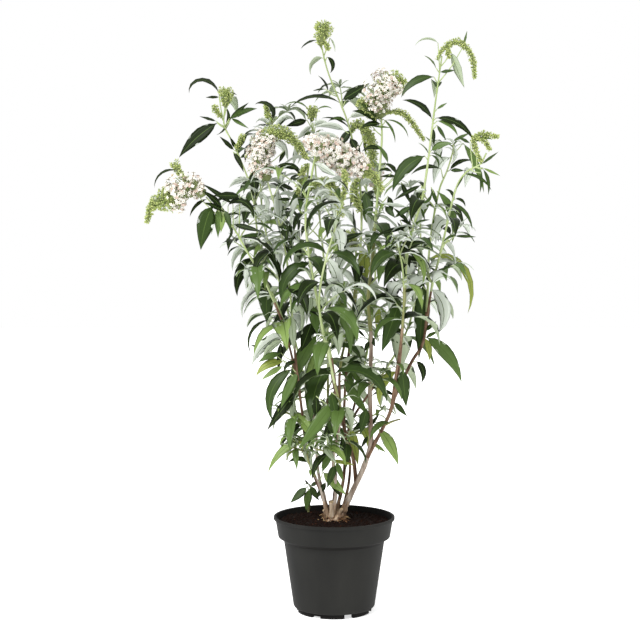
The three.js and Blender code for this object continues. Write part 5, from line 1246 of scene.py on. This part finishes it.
def clump_piece(bark, cut):
    """The flared foot, a collar round each cane, its stubs, and the fibres and shreds of bark about it."""
    bearings = [math.atan2(row[2][1], row[2][0]) for row in SHOOTS if row[1] is None]
    sides, rings = 96, 22
    turn = np.linspace(0, 2 * math.pi, sides, endpoint=False)
    ridge = sum(np.exp(-(np.angle(np.exp(1j * (turn - bearing))) / 0.3) ** 2) for bearing in bearings)
    rows = []
    for height in np.linspace(0, 1, rings):
        profile = np.interp(height, CLUMP_LEVELS, CLUMP_SHARES)
        knobs = [noise.noise(Vector((2.6 * math.cos(t), 2.6 * math.sin(t), 4 * height))) for t in turn]
        fine = [noise.noise(Vector((9 * math.cos(t), 9 * math.sin(t), 8 * height))) for t in turn]
        bulge = 0.9 + 0.12 * ridge * (1 - 0.5 * height) + 0.34 * np.array(knobs) + 0.16 * np.array(fine)
        radius = profile * CLUMP_RADIUS * bulge
        rows.append(np.minimum(radius, CLUMP_RADIUS * 1.1))
    heights = SOIL_TOP_Z - 2 + np.linspace(0, 1, rings) * (CLUMP_HEIGHT + 3)
    middle = np.stack([np.zeros(rings), np.zeros(rings), heights], axis=1)
    shape = Shape()
    tube(shape, middle, np.array(rows), sides)
    for seed, (_, limb, radii) in enumerate(LIMBS):
        if limb.at(0.0)[2] > SOIL_TOP_Z + CLUMP_HEIGHT:
            continue
        foot = limb.part(0.0, COLLAR_LENGTH / limb.length, 12)
        points, relief = ridged(foot, (radii[0] * 1.45, radii[0] * 0.98), seed + 40, step=1.6, flare=0.1)
        around = np.linspace(0, 2 * math.pi, relief.shape[1], endpoint=False)
        knobs = [
            [noise.noise(Vector((2.2 * math.cos(t), 2.2 * math.sin(t) + seed, spot[2] / 6))) for t in around]
            for spot in points
        ]
        swell = 1 + 0.55 * np.array(knobs) * np.linspace(1, 0.15, len(points))[:, None]
        tube(shape, points, relief * swell, relief.shape[1])
    for azimuth, rise, length, radius, out in STUBS:
        bearing = math.radians(azimuth)
        root = (out * math.cos(bearing), out * math.sin(bearing), SOIL_TOP_Z + CLUMP_HEIGHT * 0.3)
        path = arch(root, azimuth, length, rise, rise)
        points, relief = ridged(path, (radius, radius * 0.88), azimuth, step=2.0)
        tube(shape, points, relief, relief.shape[1], finish=4 if out > 8 else 0)
        way = path.way(1.0)
        tube(shape, np.array([path.at(1.0) - way * 2, path.at(1.0) + way * 0.3]),
             [radius * 0.8, radius * 0.76], 20, finish=1)
    for shred in range(SHREDS):
        pick, other, third, fourth = (chance(shred, 3, draw) for draw in (1, 2, 3, 4))
        bearing, out = 360 * pick, mix(SHREDS_FROM, SHREDS_TO, other ** 1.6)
        x, y = out * math.cos(math.radians(bearing)), out * math.sin(math.radians(bearing))
        foot = (x, y, soil_height(x, y) + mix(7, 0.3, min(1, (out - SHREDS_FROM) / 9)))
        way = bearing + 200 * (third - 0.5)
        path = arch(foot, way, mix(*SHRED_LENGTHS, fourth), mix(-5, 60, third), mix(0, -60, fourth))
        thick = mix(0.25, 0.5, pick) if shred % 3 else mix(0.7, 1.3, pick)
        points = path.spaced(4)
        tube(shape, points, np.linspace(thick, thick * 0.5, len(points)), 5, finish=2 + shred % 2)
    fibre = bark_finish("fibre", (96, 74, 50), (140, 112, 78), (180, 152, 112), (206, 182, 144))
    shred_bark = bark_finish("bark_shreds", (58, 36, 22), (92, 60, 38), (124, 86, 56), (150, 110, 76))
    pale = bark_finish("pale_stub", (126, 106, 86), (168, 148, 124), (202, 184, 162), (222, 208, 190))
    return shape.build("clump_wood", [bark, cut, fibre, shred_bark, pale])


def stem_piece(twigs, low_stem, high_stem):
    """The green stems with a swelling at each leaf pair, and the thin twigs."""
    shape = Shape()
    for mass in MASSES:
        stem = mass["stem"]
        points = stem.spaced(6)
        along = np.linspace(0, stem.length, len(points))
        radii = mix(mass["stem_radii"][0], mass["stem_radii"][1], along / stem.length)
        node = FIRST_NODE
        while node < stem.length - STEM_END:
            radii = radii * (1 + NODE_SWELL * np.exp(-((along - node) / NODE_REACH) ** 2))
            node += mass["internode"] or mix(INTERNODE_LOW, INTERNODE_TOP, node / stem.length)
        squared = 1 + 0.08 * np.cos(4 * np.linspace(0, 2 * math.pi, 8, endpoint=False))
        ripe = points[:-1, 2] < RIPE_HEIGHT.get(mass["name"], RIPE_HEIGHT[None])
        tube(shape, points, radii[:, None] * squared[None], 8, finish=np.where(ripe, 0, 1))
    for path, low, high in twigs:
        points = path.spaced(14)
        tube(shape, points, np.linspace(low, high, len(points)), 6, finish=1)
    return shape.build("green_stems", [low_stem, high_stem])


# ---------------------------------------------------------------------------
# Flower heads
# ---------------------------------------------------------------------------
GOLDEN = math.radians(137.5)
# The core's radius as a share of the head's: the head's stalk, thickened and painted dark as the shade
# between the florets.
AXIS_AND_SHADE_SHARE = 0.5
# Millimetres along a head from one ring of side stalks to the next
RING_APART = 2.4
OPEN_TALL = 4.0
BUD_TALL = 2.6
HEAD_END_RADIUS = 0.6
ARM_OUTWARD = 0.85
ARM_FORWARD = (0.75, 0.35)
ARMS_PER_MM = 0.85
FEWEST_ARMS = 4
MOST_ARMS = 12
SHORTEST_ARM = 0.6
LONGEST_OPEN_ARM = 1.5
LONGEST_BUD_ARM = 1.3
HEADS_PER_ARM = 4
ARM_LEAN = 1.1
BUD_SHARE = 0.3
FADED_SHARE = 0.2
OPEN_HEADS = {"back_right": 0.6}


def floret_shape():
    """One open flower facing +Z: a tube, four lobes and its throat. Finishes: 0 petal, 1 throat."""
    points, faces, marks = [], [], []

    def grow_part(new, rows, mark):
        start = len(points)
        points.extend(new)
        faces.extend([tuple(start + k for k in row) for row in rows])
        marks.extend([mark] * len(rows))

    def ring(radius, height):
        turns = [2 * math.pi * k / 3 for k in range(3)]
        return [(radius * math.cos(t), radius * math.sin(t), height) for t in turns]

    grow_part([*ring(0.9, 4.6), (0, 0, 0)], [(0, 1, 2), (1, 0, 3), (2, 1, 3), (0, 2, 3)], 0)
    outline = [(0.2, 0, 4.5), (2.0, -1.55, 4.9), (3.4, 0, 4.6), (2.0, 1.55, 4.9), (1.9, 0, 5.0)]
    for lobe in range(4):
        c, s = math.cos(lobe * math.pi / 2), math.sin(lobe * math.pi / 2)
        rows = [(0, 1, 4), (1, 2, 4), (2, 3, 4), (3, 0, 4), (0, 3, 2), (0, 2, 1)]
        grow_part([(x * c - y * s, x * s + y * c, z) for x, y, z in outline], rows, 0)
    grow_part([*ring(0.85, 4.7), (0, 0, 5.3)], [(0, 2, 1), (0, 1, 3), (1, 2, 3), (2, 0, 3)], 1)
    return np.array(points), np.array(faces), np.array(marks)


def bud_shape():
    """One closed bud along +Z."""
    turn = np.linspace(0, 2 * math.pi, 5, endpoint=False)
    points = [(0.85 * math.cos(t), 0.85 * math.sin(t), 1.8) for t in turn] + [(0, 0, 0), (0, 0, 3.4)]
    faces = []
    for k in range(5):
        j = (k + 1) % 5
        faces += [(j, k, 5), (k, j, 6)]
    return np.array(points), np.array(faces)


def facing(way, spin):
    """A turn that takes +Z to `way`, spun about it."""
    way = way / np.linalg.norm(way)
    side = np.cross(way, (0.2, 0.1, 1.0) if abs(way[2]) < 0.95 else (1.0, 0, 0))
    side /= np.linalg.norm(side)
    over = np.cross(way, side)
    c, s = math.cos(spin), math.sin(spin)
    return np.stack([side * c + over * s, over * c - side * s, way])


class Bloom:
    """Gathers florets, buds and their stalks."""

    def __init__(self):
        self.florets = Shape()
        self.buds = Shape()
        self.stalks = Shape()
        self.floret = floret_shape()
        self.bud = bud_shape()

    def place(self, shape, form, at, way, spin, size, finish):
        turned = form[0] * size @ facing(way, spin) + at
        shape.add(turned, form[1], finish)
        shape.close()

    def open_flower(self, at, way, spin, size, faded_and_shaded):
        self.place(self.florets, self.floret, at, way, spin, size, 2 if faded_and_shaded else self.floret[2])

    def closed_bud(self, at, way, spin, size, finish):
        self.place(self.buds, self.bud, at, way, spin, size, finish)


def flower_head(bloom, path, radius_at, open_share, seed):
    """A plume of short side stalks round a core, the head's stalk thickened and painted dark as the shade
    inside the head, in flower up to open_share of its length.
    """
    points = path.spaced(4)
    shares = np.linspace(0, 1, len(points))
    # The core is the head's real stalk, made thick and dark as painted shade inside the head.
    axis_and_shade_core = [
        AXIS_AND_SHADE_SHARE * radius_at(share) * (1 + 0.15 * math.sin(9 * number))
        for number, share in enumerate(shares)
    ]
    axis_and_shade_core[0] = axis_and_shade_core[-1] = HEAD_END_RADIUS
    tube(bloom.stalks, points, axis_and_shade_core, 8, finish=1)
    across, over = frames_along(points)
    rings = int(path.length / RING_APART)
    for ring in range(rings):
        share = (ring + 0.5) / rings
        spot = min(len(points) - 1, int(round(share * (len(points) - 1))))
        plump = radius_at(share)
        in_bloom = share < open_share
        arms = int(np.clip(plump * ARMS_PER_MM, FEWEST_ARMS, MOST_ARMS))
        for arm in range(arms):
            pick = chance(seed, ring, arm)
            turn = ring * GOLDEN + arm * 2 * math.pi / arms + pick
            outward = math.cos(turn) * across[spot] + math.sin(turn) * over[spot]
            way = outward * ARM_OUTWARD + path.way(share) * mix(*ARM_FORWARD, share)
            way = way / np.linalg.norm(way)
            longest = LONGEST_OPEN_ARM if in_bloom else LONGEST_BUD_ARM
            reach = plump * mix(SHORTEST_ARM, longest, chance(seed, ring, arm + 10))
            cluster(bloom, path.at(share), way, reach, in_bloom and pick < 0.95, seed, ring * 8 + arm)


def cluster(bloom, root, way, reach, in_bloom, seed, number):
    """One side stalk and the few flowers or buds at its end, with a spent one here and there."""
    tall = OPEN_TALL if in_bloom else BUD_TALL
    end = root + way * max(0.5, reach - tall)
    tube(bloom.stalks, np.array([root, end]), [0.45, 0.35], 3)
    for head in range(HEADS_PER_ARM):
        pick = chance(seed + 0.5, number, head)
        lean = np.array([chance(seed, number, head + k) - 0.5 for k in (20, 30, 40)])
        aim = way + lean * ARM_LEAN
        at = end + lean * (3.0 if in_bloom else 2.2)
        if in_bloom and pick > BUD_SHARE:
            faded_and_shaded = chance(seed, number, head + 50) > 1 - FADED_SHARE
            bloom.open_flower(at, aim, pick * 6.28, mix(0.7, 1.05, pick), faded_and_shaded)
        elif in_bloom:
            bloom.closed_bud(at + way * 1.2, aim, pick * 6.28, mix(0.9, 1.3, pick), 2 if pick < 0.2 else 0)
        else:
            bloom.closed_bud(at, aim, pick * 6.28, mix(0.85, 1.3, pick), 0 if pick < 0.55 else 1)


def arched_head(mass):
    """The path and the radius along a head that is given by its length, radius and slopes."""
    length, radius, azimuth, rise, fall = mass["head"]
    stem = mass["stem"]
    path = arch(stem.at(1.0) - stem.way(1.0) * HEAD_SINK, azimuth, length, rise, fall)

    def radius_at(share):
        return radius * min(1.0, 0.55 + share * 3) * mix(1.1, 0.32, max(0.0, share - 0.25) / 0.75)

    return path, radius_at


def seen_head(rows):
    """The path and the radius along a head that is given in the front view."""
    points = [seen_at(across, down, depth) for across, down, depth, _ in rows]
    path = Path(points)
    marks = np.concatenate([[0], np.cumsum(np.linalg.norm(np.diff(points, axis=0), axis=1))])
    radii = [width / 2 * (CAMERA_AWAY + depth) / VIEW_FOCUS for _, _, depth, width in rows]
    return path, lambda share: float(np.interp(share * marks[-1], marks, radii))


def bloom_pieces():
    petal = leaf_finish("petal", (242, 239, 231), 0.7, 0.2, depth=0.05)
    throat = leaf_finish("throat", (176, 142, 96), 0.7, 0.2, depth=0.1)
    faded_and_shaded = leaf_finish("faded_petal", (212, 190, 176), 0.7, 0.2, depth=0.05)
    bud = leaf_finish("bud", (146, 164, 88), 0.6, 0.3, depth=0.1)
    young_bud = leaf_finish("young_bud", (186, 196, 124), 0.6, 0.3, depth=0.1)
    spent = leaf_finish("spent_flower", (98, 78, 50), 0.8, 0.2, depth=0.1)
    stalk = shoot_finish("flower_stalk", (134, 156, 84), (166, 184, 116))
    # The core's dark olive is painted shade inside the head, laid on its real stalk.
    axis_and_shade_core = shoot_finish("flower_axis_and_shade", (84, 96, 48), (124, 134, 82))
    bloom = Bloom()
    for mass in MASSES:
        seed = mass["index"] + 3
        plumes = PLUMES.get(mass["name"], [])
        for number, (rows, in_flower) in enumerate(plumes):
            flower_head(bloom, *seen_head(rows), in_flower, seed + number * 0.37)
        if mass["head"] and not plumes:
            flower_head(bloom, *arched_head(mass), OPEN_HEADS.get(mass["name"], 0.0), seed)
    return [
        bloom.florets.build("open_flowers", [petal, throat, faded_and_shaded], smooth=False),
        bloom.buds.build("flower_buds", [bud, young_bud, spent]),
        bloom.stalks.build("flower_stalks", [stalk, axis_and_shade_core]),
    ]


# ---------------------------------------------------------------------------
# Pot and soil
# ---------------------------------------------------------------------------
POT_SIDES = 144
EDGE_REACH = 0.9
SOIL_SIDES = 180
SOIL_RINGS = 54
SOIL_MESH_RADIUS = 96.0
SOIL_LOW_Z = BAND_LOW_Z + 8
# The soil's level falls from its flat middle to the pot's wall
SOIL_FALL_RADII = [0, SOIL_FLAT_RADIUS, 68, 97]
SOIL_FALL_LEVELS = [SOIL_TOP_Z, SOIL_TOP_Z, SOIL_EDGE_Z + 3.5, SOIL_EDGE_Z]
# A low mound of clods: its middle, its reach both ways and its height
CLOD_MIDDLE = (-34, 22)
CLOD_REACH = (20, 16)
CLOD_HEIGHT = 9
# The scale of the soil's unevenness and its height
SOIL_ROUGHNESS = ((14, 1.3), (6, 1.0), (2.6, 0.7))


def lathe(shape, profile, sides, finish=0):
    """A closed ring of quads round the pot's axis from a closed outline of (radius, height)."""
    profile = np.array(profile, float)
    turn = np.linspace(0, 2 * math.pi, sides, endpoint=False)
    rows = len(profile)
    points = np.stack([
        profile[:, None, 0] * np.cos(turn), profile[:, None, 0] * np.sin(turn),
        np.repeat(profile[:, None, 1], sides, axis=1),
    ], axis=-1)
    faces = [band(sides, row * sides, (row + 1) % rows * sides) for row in range(rows)]
    shape.add(points, np.vstack(faces), np.repeat(np.broadcast_to(finish, rows), sides))
    shape.close()


def rounded(outline, reach, count=4):
    """A closed outline with each corner cut back by `reach` and bent round."""
    outline = np.array(outline, float)
    made = []
    for k, corner in enumerate(outline):
        before = outline[k - 1] - corner
        after = outline[(k + 1) % len(outline)] - corner
        near = min(reach, 0.42 * np.linalg.norm(before), 0.42 * np.linalg.norm(after))
        start = corner + before / np.linalg.norm(before) * near
        end = corner + after / np.linalg.norm(after) * near
        for t in np.linspace(0, 1, count):
            made.append((1 - t) ** 2 * start + 2 * t * (1 - t) * corner + t**2 * end)
    return made


def pot_piece(plastic, shaded):
    def inside(radius):
        return radius - WALL

    wall = [
        (RING_RADIUS - RING_WIDTH, BASE_Z), (BASE_RADIUS - 1.5, BASE_Z), (BASE_RADIUS + 0.2, BASE_Z + 2),
        (SHOULDER_RADIUS, SHOULDER_Z), (BAND_LOW_RADIUS, BAND_LOW_Z),
        (BAND_TOP_RADIUS, POT_HEIGHT - LIP_HEIGHT), (RIM_RADIUS, POT_HEIGHT - LIP_HEIGHT),
        (RIM_RADIUS, POT_HEIGHT), (inside(BAND_TOP_RADIUS), POT_HEIGHT),
        (inside(BAND_LOW_RADIUS), BAND_LOW_Z + 2), (inside(SHOULDER_RADIUS), SHOULDER_Z + 2),
        (inside(BASE_RADIUS), FLOOR_Z), (BOSS_RADIUS, FLOOR_Z), (BOSS_RADIUS, BASE_Z),
    ]
    shape = Shape()
    outline = rounded(wall, EDGE_REACH)
    top = max(range(len(outline)), key=lambda k: (outline[k][1], -outline[k][0]))
    # The inside from the rim down, the underside by the foot and the slope under the band take the darker
    # copy of the plastic: painted shade.
    painted_shade_ledge = [SHOULDER_Z - 1 < spot[1] < BAND_LOW_Z - 0.5 for spot in outline]
    marks = [1 if k >= top or k < 6 or painted_shade_ledge[k] else 0 for k in range(len(outline))]
    lathe(shape, outline, POT_SIDES, finish=marks)
    boss = [(0.01, 0), (BOSS_RADIUS + 0.5, 0), (BOSS_RADIUS + 0.5, FLOOR_Z - 0.1), (0.01, FLOOR_Z - 0.1)]
    lathe(shape, boss, 64)
    half = math.degrees(NOTCH_WIDTH / 2 / RING_RADIUS)
    for foot in range(FOOT_NOTCHES):
        start = NOTCH_TURN + 360 / FOOT_NOTCHES * foot + half
        end = NOTCH_TURN + 360 / FOOT_NOTCHES * (foot + 1) - half
        foot_arc(shape, start, end, 0)
    # A dark web hung in one notch stands for the shade seen through it: painted shade.
    foot_arc(shape, NOTCH_TURN - half - 1, NOTCH_TURN + half + 1, SHADE_WEB_LOW)
    return shape.build("nursery_pot", [plastic, shaded])


def foot_arc(shape, start, end, low):
    """One foot of the ring between two notches, or a web hung in one notch as a dark sheet for the shade seen
    through it; both in the darker copy of the plastic, painted shade.
    """
    turn = np.radians(np.linspace(start, end, 9))
    inner, outer = RING_RADIUS - RING_WIDTH, RING_RADIUS
    if low:
        inner, outer = inner + 0.2, outer - 0.2
    outline = rounded([(inner, BASE_Z + 0.8), (inner, low), (outer, low), (outer, BASE_Z + 0.8)], 0.8)
    outline = np.array(outline)
    size = len(outline)
    points = np.stack([
        outline[None, :, 0] * np.cos(turn)[:, None], outline[None, :, 0] * np.sin(turn)[:, None],
        np.repeat(outline[None, :, 1], len(turn), axis=0),
    ], axis=-1).reshape(-1, 3)
    spans = len(turn) - 1
    faces = [band(size, row * size, (row + 1) * size, flip=True) for row in range(spans)]
    middle = [points[:size].mean(axis=0), points[-size:].mean(axis=0)]
    ends = len(points)
    caps = np.concatenate([fan(size, 0, ends, flip=True), fan(size, spans * size, ends + 1)])
    shape.add(np.vstack([points, middle]), np.vstack(faces), 1)
    shape.add([], caps, 1)
    shape.close()


def soil_height(x, y):
    """The crumbly top of the fill at one place, in millimetres."""
    radius = math.hypot(x, y)
    level = np.interp(radius, SOIL_FALL_RADII, SOIL_FALL_LEVELS)
    across, along = ((at - middle) / reach for at, middle, reach in zip((x, y), CLOD_MIDDLE, CLOD_REACH))
    rough = CLOD_HEIGHT * math.exp(-across ** 2 - along ** 2)
    for scale, size in SOIL_ROUGHNESS:
        rough += size * noise.noise(Vector((x / scale, y / scale, scale)))
    return level - 1.2 + rough


def soil_piece(soil):
    sides, rings = SOIL_SIDES, SOIL_RINGS
    edge = SOIL_MESH_RADIUS
    turn = np.linspace(0, 2 * math.pi, sides, endpoint=False)
    points = [(0, 0, soil_height(0, 0))]
    for ring in range(1, rings + 1):
        radius = edge * ring / rings
        for t in turn:
            x, y = radius * math.cos(t), radius * math.sin(t)
            points.append((x, y, soil_height(x, y)))
    for t in turn:
        points.append((edge * math.cos(t), edge * math.sin(t), SOIL_LOW_Z))
    points.append((0, 0, SOIL_LOW_Z))
    shape = Shape()
    quads = [band(sides, 1 + ring * sides, 1 + (ring + 1) * sides, flip=True) for ring in range(rings)]
    low = 1 + rings * sides
    shape.add(points, np.vstack(quads))
    middle = np.roll(fan(sides, 1, 0, flip=True), 1, axis=1)
    shape.add([], np.concatenate([middle, fan(sides, low, low + sides)]))
    shape.close()
    return shape.build("potting_soil", [soil])


def crumb_master(name, finish, stretch):
    """One small lump for the scatter, lumpy by a fixed rule."""
    mesh = bpy.data.meshes.new(name)
    rings, sides = 4, 6
    points = [(0, 0, -0.5)]
    for ring in range(1, rings):
        height = -math.cos(math.pi * ring / rings) / 2
        radius = math.sin(math.pi * ring / rings) / 2
        for side in range(sides):
            turn = 2 * math.pi * side / sides
            bulge = 1 + 0.5 * (chance(ring, side, stretch[0]) - 0.5)
            points.append((radius * bulge * math.cos(turn), radius * bulge * math.sin(turn), height * bulge))
    points.append((0, 0, 0.5))
    last = len(points) - 1
    faces = []
    for side in range(sides):
        nxt = (side + 1) % sides
        faces.append((0, 1 + nxt, 1 + side))
        for ring in range(rings - 2):
            a, b = 1 + ring * sides, 1 + (ring + 1) * sides
            faces.append((a + side, a + nxt, b + nxt, b + side))
        faces.append((1 + (rings - 2) * sides + side, 1 + (rings - 2) * sides + nxt, last))
    mesh.from_pydata([tuple(c * s * MM for c, s in zip(point, stretch)) for point in points], [], faces)
    mesh.materials.append(finish)
    master = bpy.data.objects.new(name, mesh)
    bpy.context.scene.collection.objects.link(master)
    return master


def scatter(name, ground, master, finish, density, low, high, seed, lowest):
    """Lumps on the ground's upper faces by Geometry Nodes, realized and turned to a plain mesh."""
    tree = bpy.data.node_groups.new(f"{name}_scatter", "GeometryNodeTree")
    tree.is_modifier = True
    face = tree.interface
    face.new_socket("Geometry", in_out="INPUT", socket_type="NodeSocketGeometry")
    sizes = {}
    given_values = {"Density": density, "Smallest": low, "Largest": high, "Lowest place": lowest}
    for label, value in given_values.items():
        socket = face.new_socket(label, in_out="INPUT", socket_type="NodeSocketFloat")
        socket.default_value = value
        sizes[label] = socket.identifier
    face.new_socket("Geometry", in_out="OUTPUT", socket_type="NodeSocketGeometry")
    add = tree.nodes.new
    given, result = add("NodeGroupInput"), add("NodeGroupOutput")
    spread, put = add("GeometryNodeDistributePointsOnFaces"), add("GeometryNodeInstanceOnPoints")
    lump = add("GeometryNodeObjectInfo")
    turn, size = add("FunctionNodeRandomValue"), add("FunctionNodeRandomValue")
    real, painted = add("GeometryNodeRealizeInstances"), add("GeometryNodeSetMaterial")
    place, split = add("GeometryNodeInputPosition"), add("ShaderNodeSeparateXYZ")
    above = add("ShaderNodeMath")
    above.operation = "GREATER_THAN"
    spread.inputs["Seed"].default_value = seed
    lump.inputs["Object"].default_value = master
    turn.data_type = "FLOAT_VECTOR"
    turn.inputs["Max"].default_value = (6.28, 6.28, 6.28)
    turn.inputs["Seed"].default_value = seed + 1
    size.inputs["Seed"].default_value = seed + 2
    painted.inputs["Material"].default_value = finish
    for start, out, end, into in (
        (place, "Position", split, "Vector"), (split, "Z", above, 0), (given, "Lowest place", above, 1),
        (given, "Geometry", spread, "Mesh"), (above, "Value", spread, "Selection"),
        (given, "Density", spread, "Density"), (given, "Smallest", size, 2), (given, "Largest", size, 3),
        (spread, "Points", put, "Points"), (lump, "Geometry", put, "Instance"),
        (turn, "Value", put, "Rotation"), (size, 1, put, "Scale"),
        (put, "Instances", real, "Geometry"), (real, "Geometry", painted, "Geometry"),
        (painted, "Geometry", result, "Geometry"),
    ):
        tree.links.new(start.outputs[out], end.inputs[into])
    modifier = ground.modifiers.new(name, "NODES")
    modifier.node_group = tree
    for label, value in given_values.items():
        modifier[sizes[label]] = value
    bpy.context.view_layer.update()
    worked = ground.evaluated_get(bpy.context.evaluated_depsgraph_get())
    mesh = bpy.data.meshes.new_from_object(worked)
    ground.modifiers.remove(modifier)
    mesh.name = name
    piece = bpy.data.objects.new(name, mesh)
    bpy.context.scene.collection.objects.link(piece)
    bpy.data.objects.remove(master)
    return piece


# ---------------------------------------------------------------------------
# Light, floor and camera
# ---------------------------------------------------------------------------
SKY_LIGHT = 0.8
SUN_LIGHT = 2.7
SUN_BEARING = 235
SUN_HEIGHT = 48
SUN_SPREAD = 22
FLOOR_GLOW = 0.62
FLOOR_REACH = 9000


def camera():
    data = bpy.data.cameras.new("camera")
    data.lens = VIEW_FOCUS / VIEW_WIDTH * data.sensor_width
    made = bpy.data.objects.new("camera", data)
    bpy.context.scene.collection.objects.link(made)
    made.location = (CAMERA_SIDE * MM, -CAMERA_AWAY * MM, CAMERA_HEIGHT * MM)
    made.rotation_euler = (math.radians(90 - CAMERA_TILT), 0, 0)
    bpy.context.scene.camera = made


def sun(bearing, height, strength, spread):
    """A soft sun from a bearing, in degrees from +X, and a height above level."""
    data = bpy.data.lights.new("key", "SUN")
    data.energy = strength
    data.angle = math.radians(spread)
    made = bpy.data.objects.new("key", data)
    bpy.context.scene.collection.objects.link(made)
    level, turn = math.radians(height), math.radians(bearing)
    way = Vector((-math.cos(level) * math.cos(turn), -math.cos(level) * math.sin(turn), -math.sin(level)))
    made.rotation_euler = way.to_track_quat("-Z", "Y").to_euler()


def studio():
    world = bpy.data.worlds.new("studio")
    bpy.context.scene.world = world
    world.use_nodes = True
    nodes, links = world.node_tree.nodes, world.node_tree.links
    shade = nodes["Background"]
    ray = nodes.new("ShaderNodeLightPath")
    level = nodes.new("ShaderNodeMix")
    level.inputs["A"].default_value = SKY_LIGHT
    level.inputs["B"].default_value = 1.0
    links.new(ray.outputs["Is Camera Ray"], level.inputs["Factor"])
    links.new(level.outputs["Result"], shade.inputs["Strength"])
    shade.inputs["Color"].default_value = (1, 1, 1, 1)
    paper = Finish("floor_paper", (236, 236, 236), 0.9, specular=0.1)
    paper.paint(paper.ramp(paper.grain(3, detail=2), [(0.3, (234, 234, 234)), (0.7, (238, 238, 238))]))
    paper.shader.inputs["Emission Color"].default_value = (1, 1, 1, 1)
    paper.shader.inputs["Emission Strength"].default_value = FLOOR_GLOW
    floor = Shape()
    far = FLOOR_REACH
    floor.add([(-far, -far, 0), (far, -far, 0), (far, far, 0), (-far, far, 0)], [(0, 1, 2, 3)])
    ground = floor.build("floor", [paper.material])
    sun(SUN_BEARING, SUN_HEIGHT, SUN_LIGHT, SUN_SPREAD)
    bpy.context.scene.view_settings.view_transform = "Standard"
    bpy.context.scene.view_settings.look = "None"


# ---------------------------------------------------------------------------
# Putting it together
# ---------------------------------------------------------------------------
CRUMB_SIZE = (3.4, 2.8, 2.4)
CRUMBS_PER_SQUARE_METRE = 60000
CHIP_SIZE = (5.5, 1.6, 1.0)
CHIPS_PER_SQUARE_METRE = 2600


def dress(piece, slot, *nodes):
    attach(piece, "root")
    if nodes:
        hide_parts(*nodes)


def main():
    bark = bark_finish("bark", (104, 84, 70), (150, 134, 120), (178, 164, 150), (202, 192, 178))
    dark_bark = bark_finish("dark_bark", (52, 34, 24), (92, 68, 52), (126, 100, 80), (158, 136, 112))
    foliage, twigs = Foliage(), []
    for mass in MASSES:
        grow(mass, foliage, twigs)
        tip_leaves(mass, foliage)
        shown_leaves(mass, foliage, twigs)
    leaves = within_reach(clear_of_limbs(foliage.table()))
    for piece in leaf_pieces(leaves):
        dress(piece, "leaf", *MASS_NODES)
    dress(stem_piece(twigs, shoot_finish("shoot_low", (108, 106, 60), (142, 146, 88)),
                     shoot_finish("shoot_high", (150, 168, 104), (182, 194, 142))), "leaf", *MASS_NODES)
    for piece in bloom_pieces():
        dress(piece, "blossom", *MASS_NODES)
    dress(cane_piece(bark, dark_bark), "bark", *[name for name, _, _ in LIMBS])
    foot_bark = bark_finish("foot_bark", (74, 54, 40), (130, 106, 84), (172, 148, 124), (200, 180, 156))
    dress(clump_piece(foot_bark, cut_wood_finish()), "bark", "clump")
    dress(pot_piece(pot_finish(), shaded_finish()), "pot", "pot")

    soil_mat = soil_finish("soil", (12, 7, 5), (30, 17, 11), 240)
    crumb_mat = soil_finish("crumbs", (14, 8, 6), (36, 20, 13), 400)
    chip_mat = soil_finish("bark_chips", (46, 22, 12), (88, 48, 28), 300)
    ground = soil_piece(soil_mat)
    lowest = (SOIL_EDGE_Z - 6) * MM
    crumbs = scatter(
        "soil_crumbs", ground, crumb_master("crumb", crumb_mat, CRUMB_SIZE), crumb_mat,
        density=CRUMBS_PER_SQUARE_METRE, low=0.5, high=1.5, seed=4, lowest=lowest,
    )
    chips = scatter(
        "soil_chips", ground, crumb_master("chip", chip_mat, CHIP_SIZE), chip_mat,
        density=CHIPS_PER_SQUARE_METRE, low=0.5, high=1.3, seed=9, lowest=lowest,
    )
    dress(ground, "soil", "soil")
    dress(crumbs, "soil", "soil")
    dress(chips, "soil", "soil")
    studio()
    camera()


main()
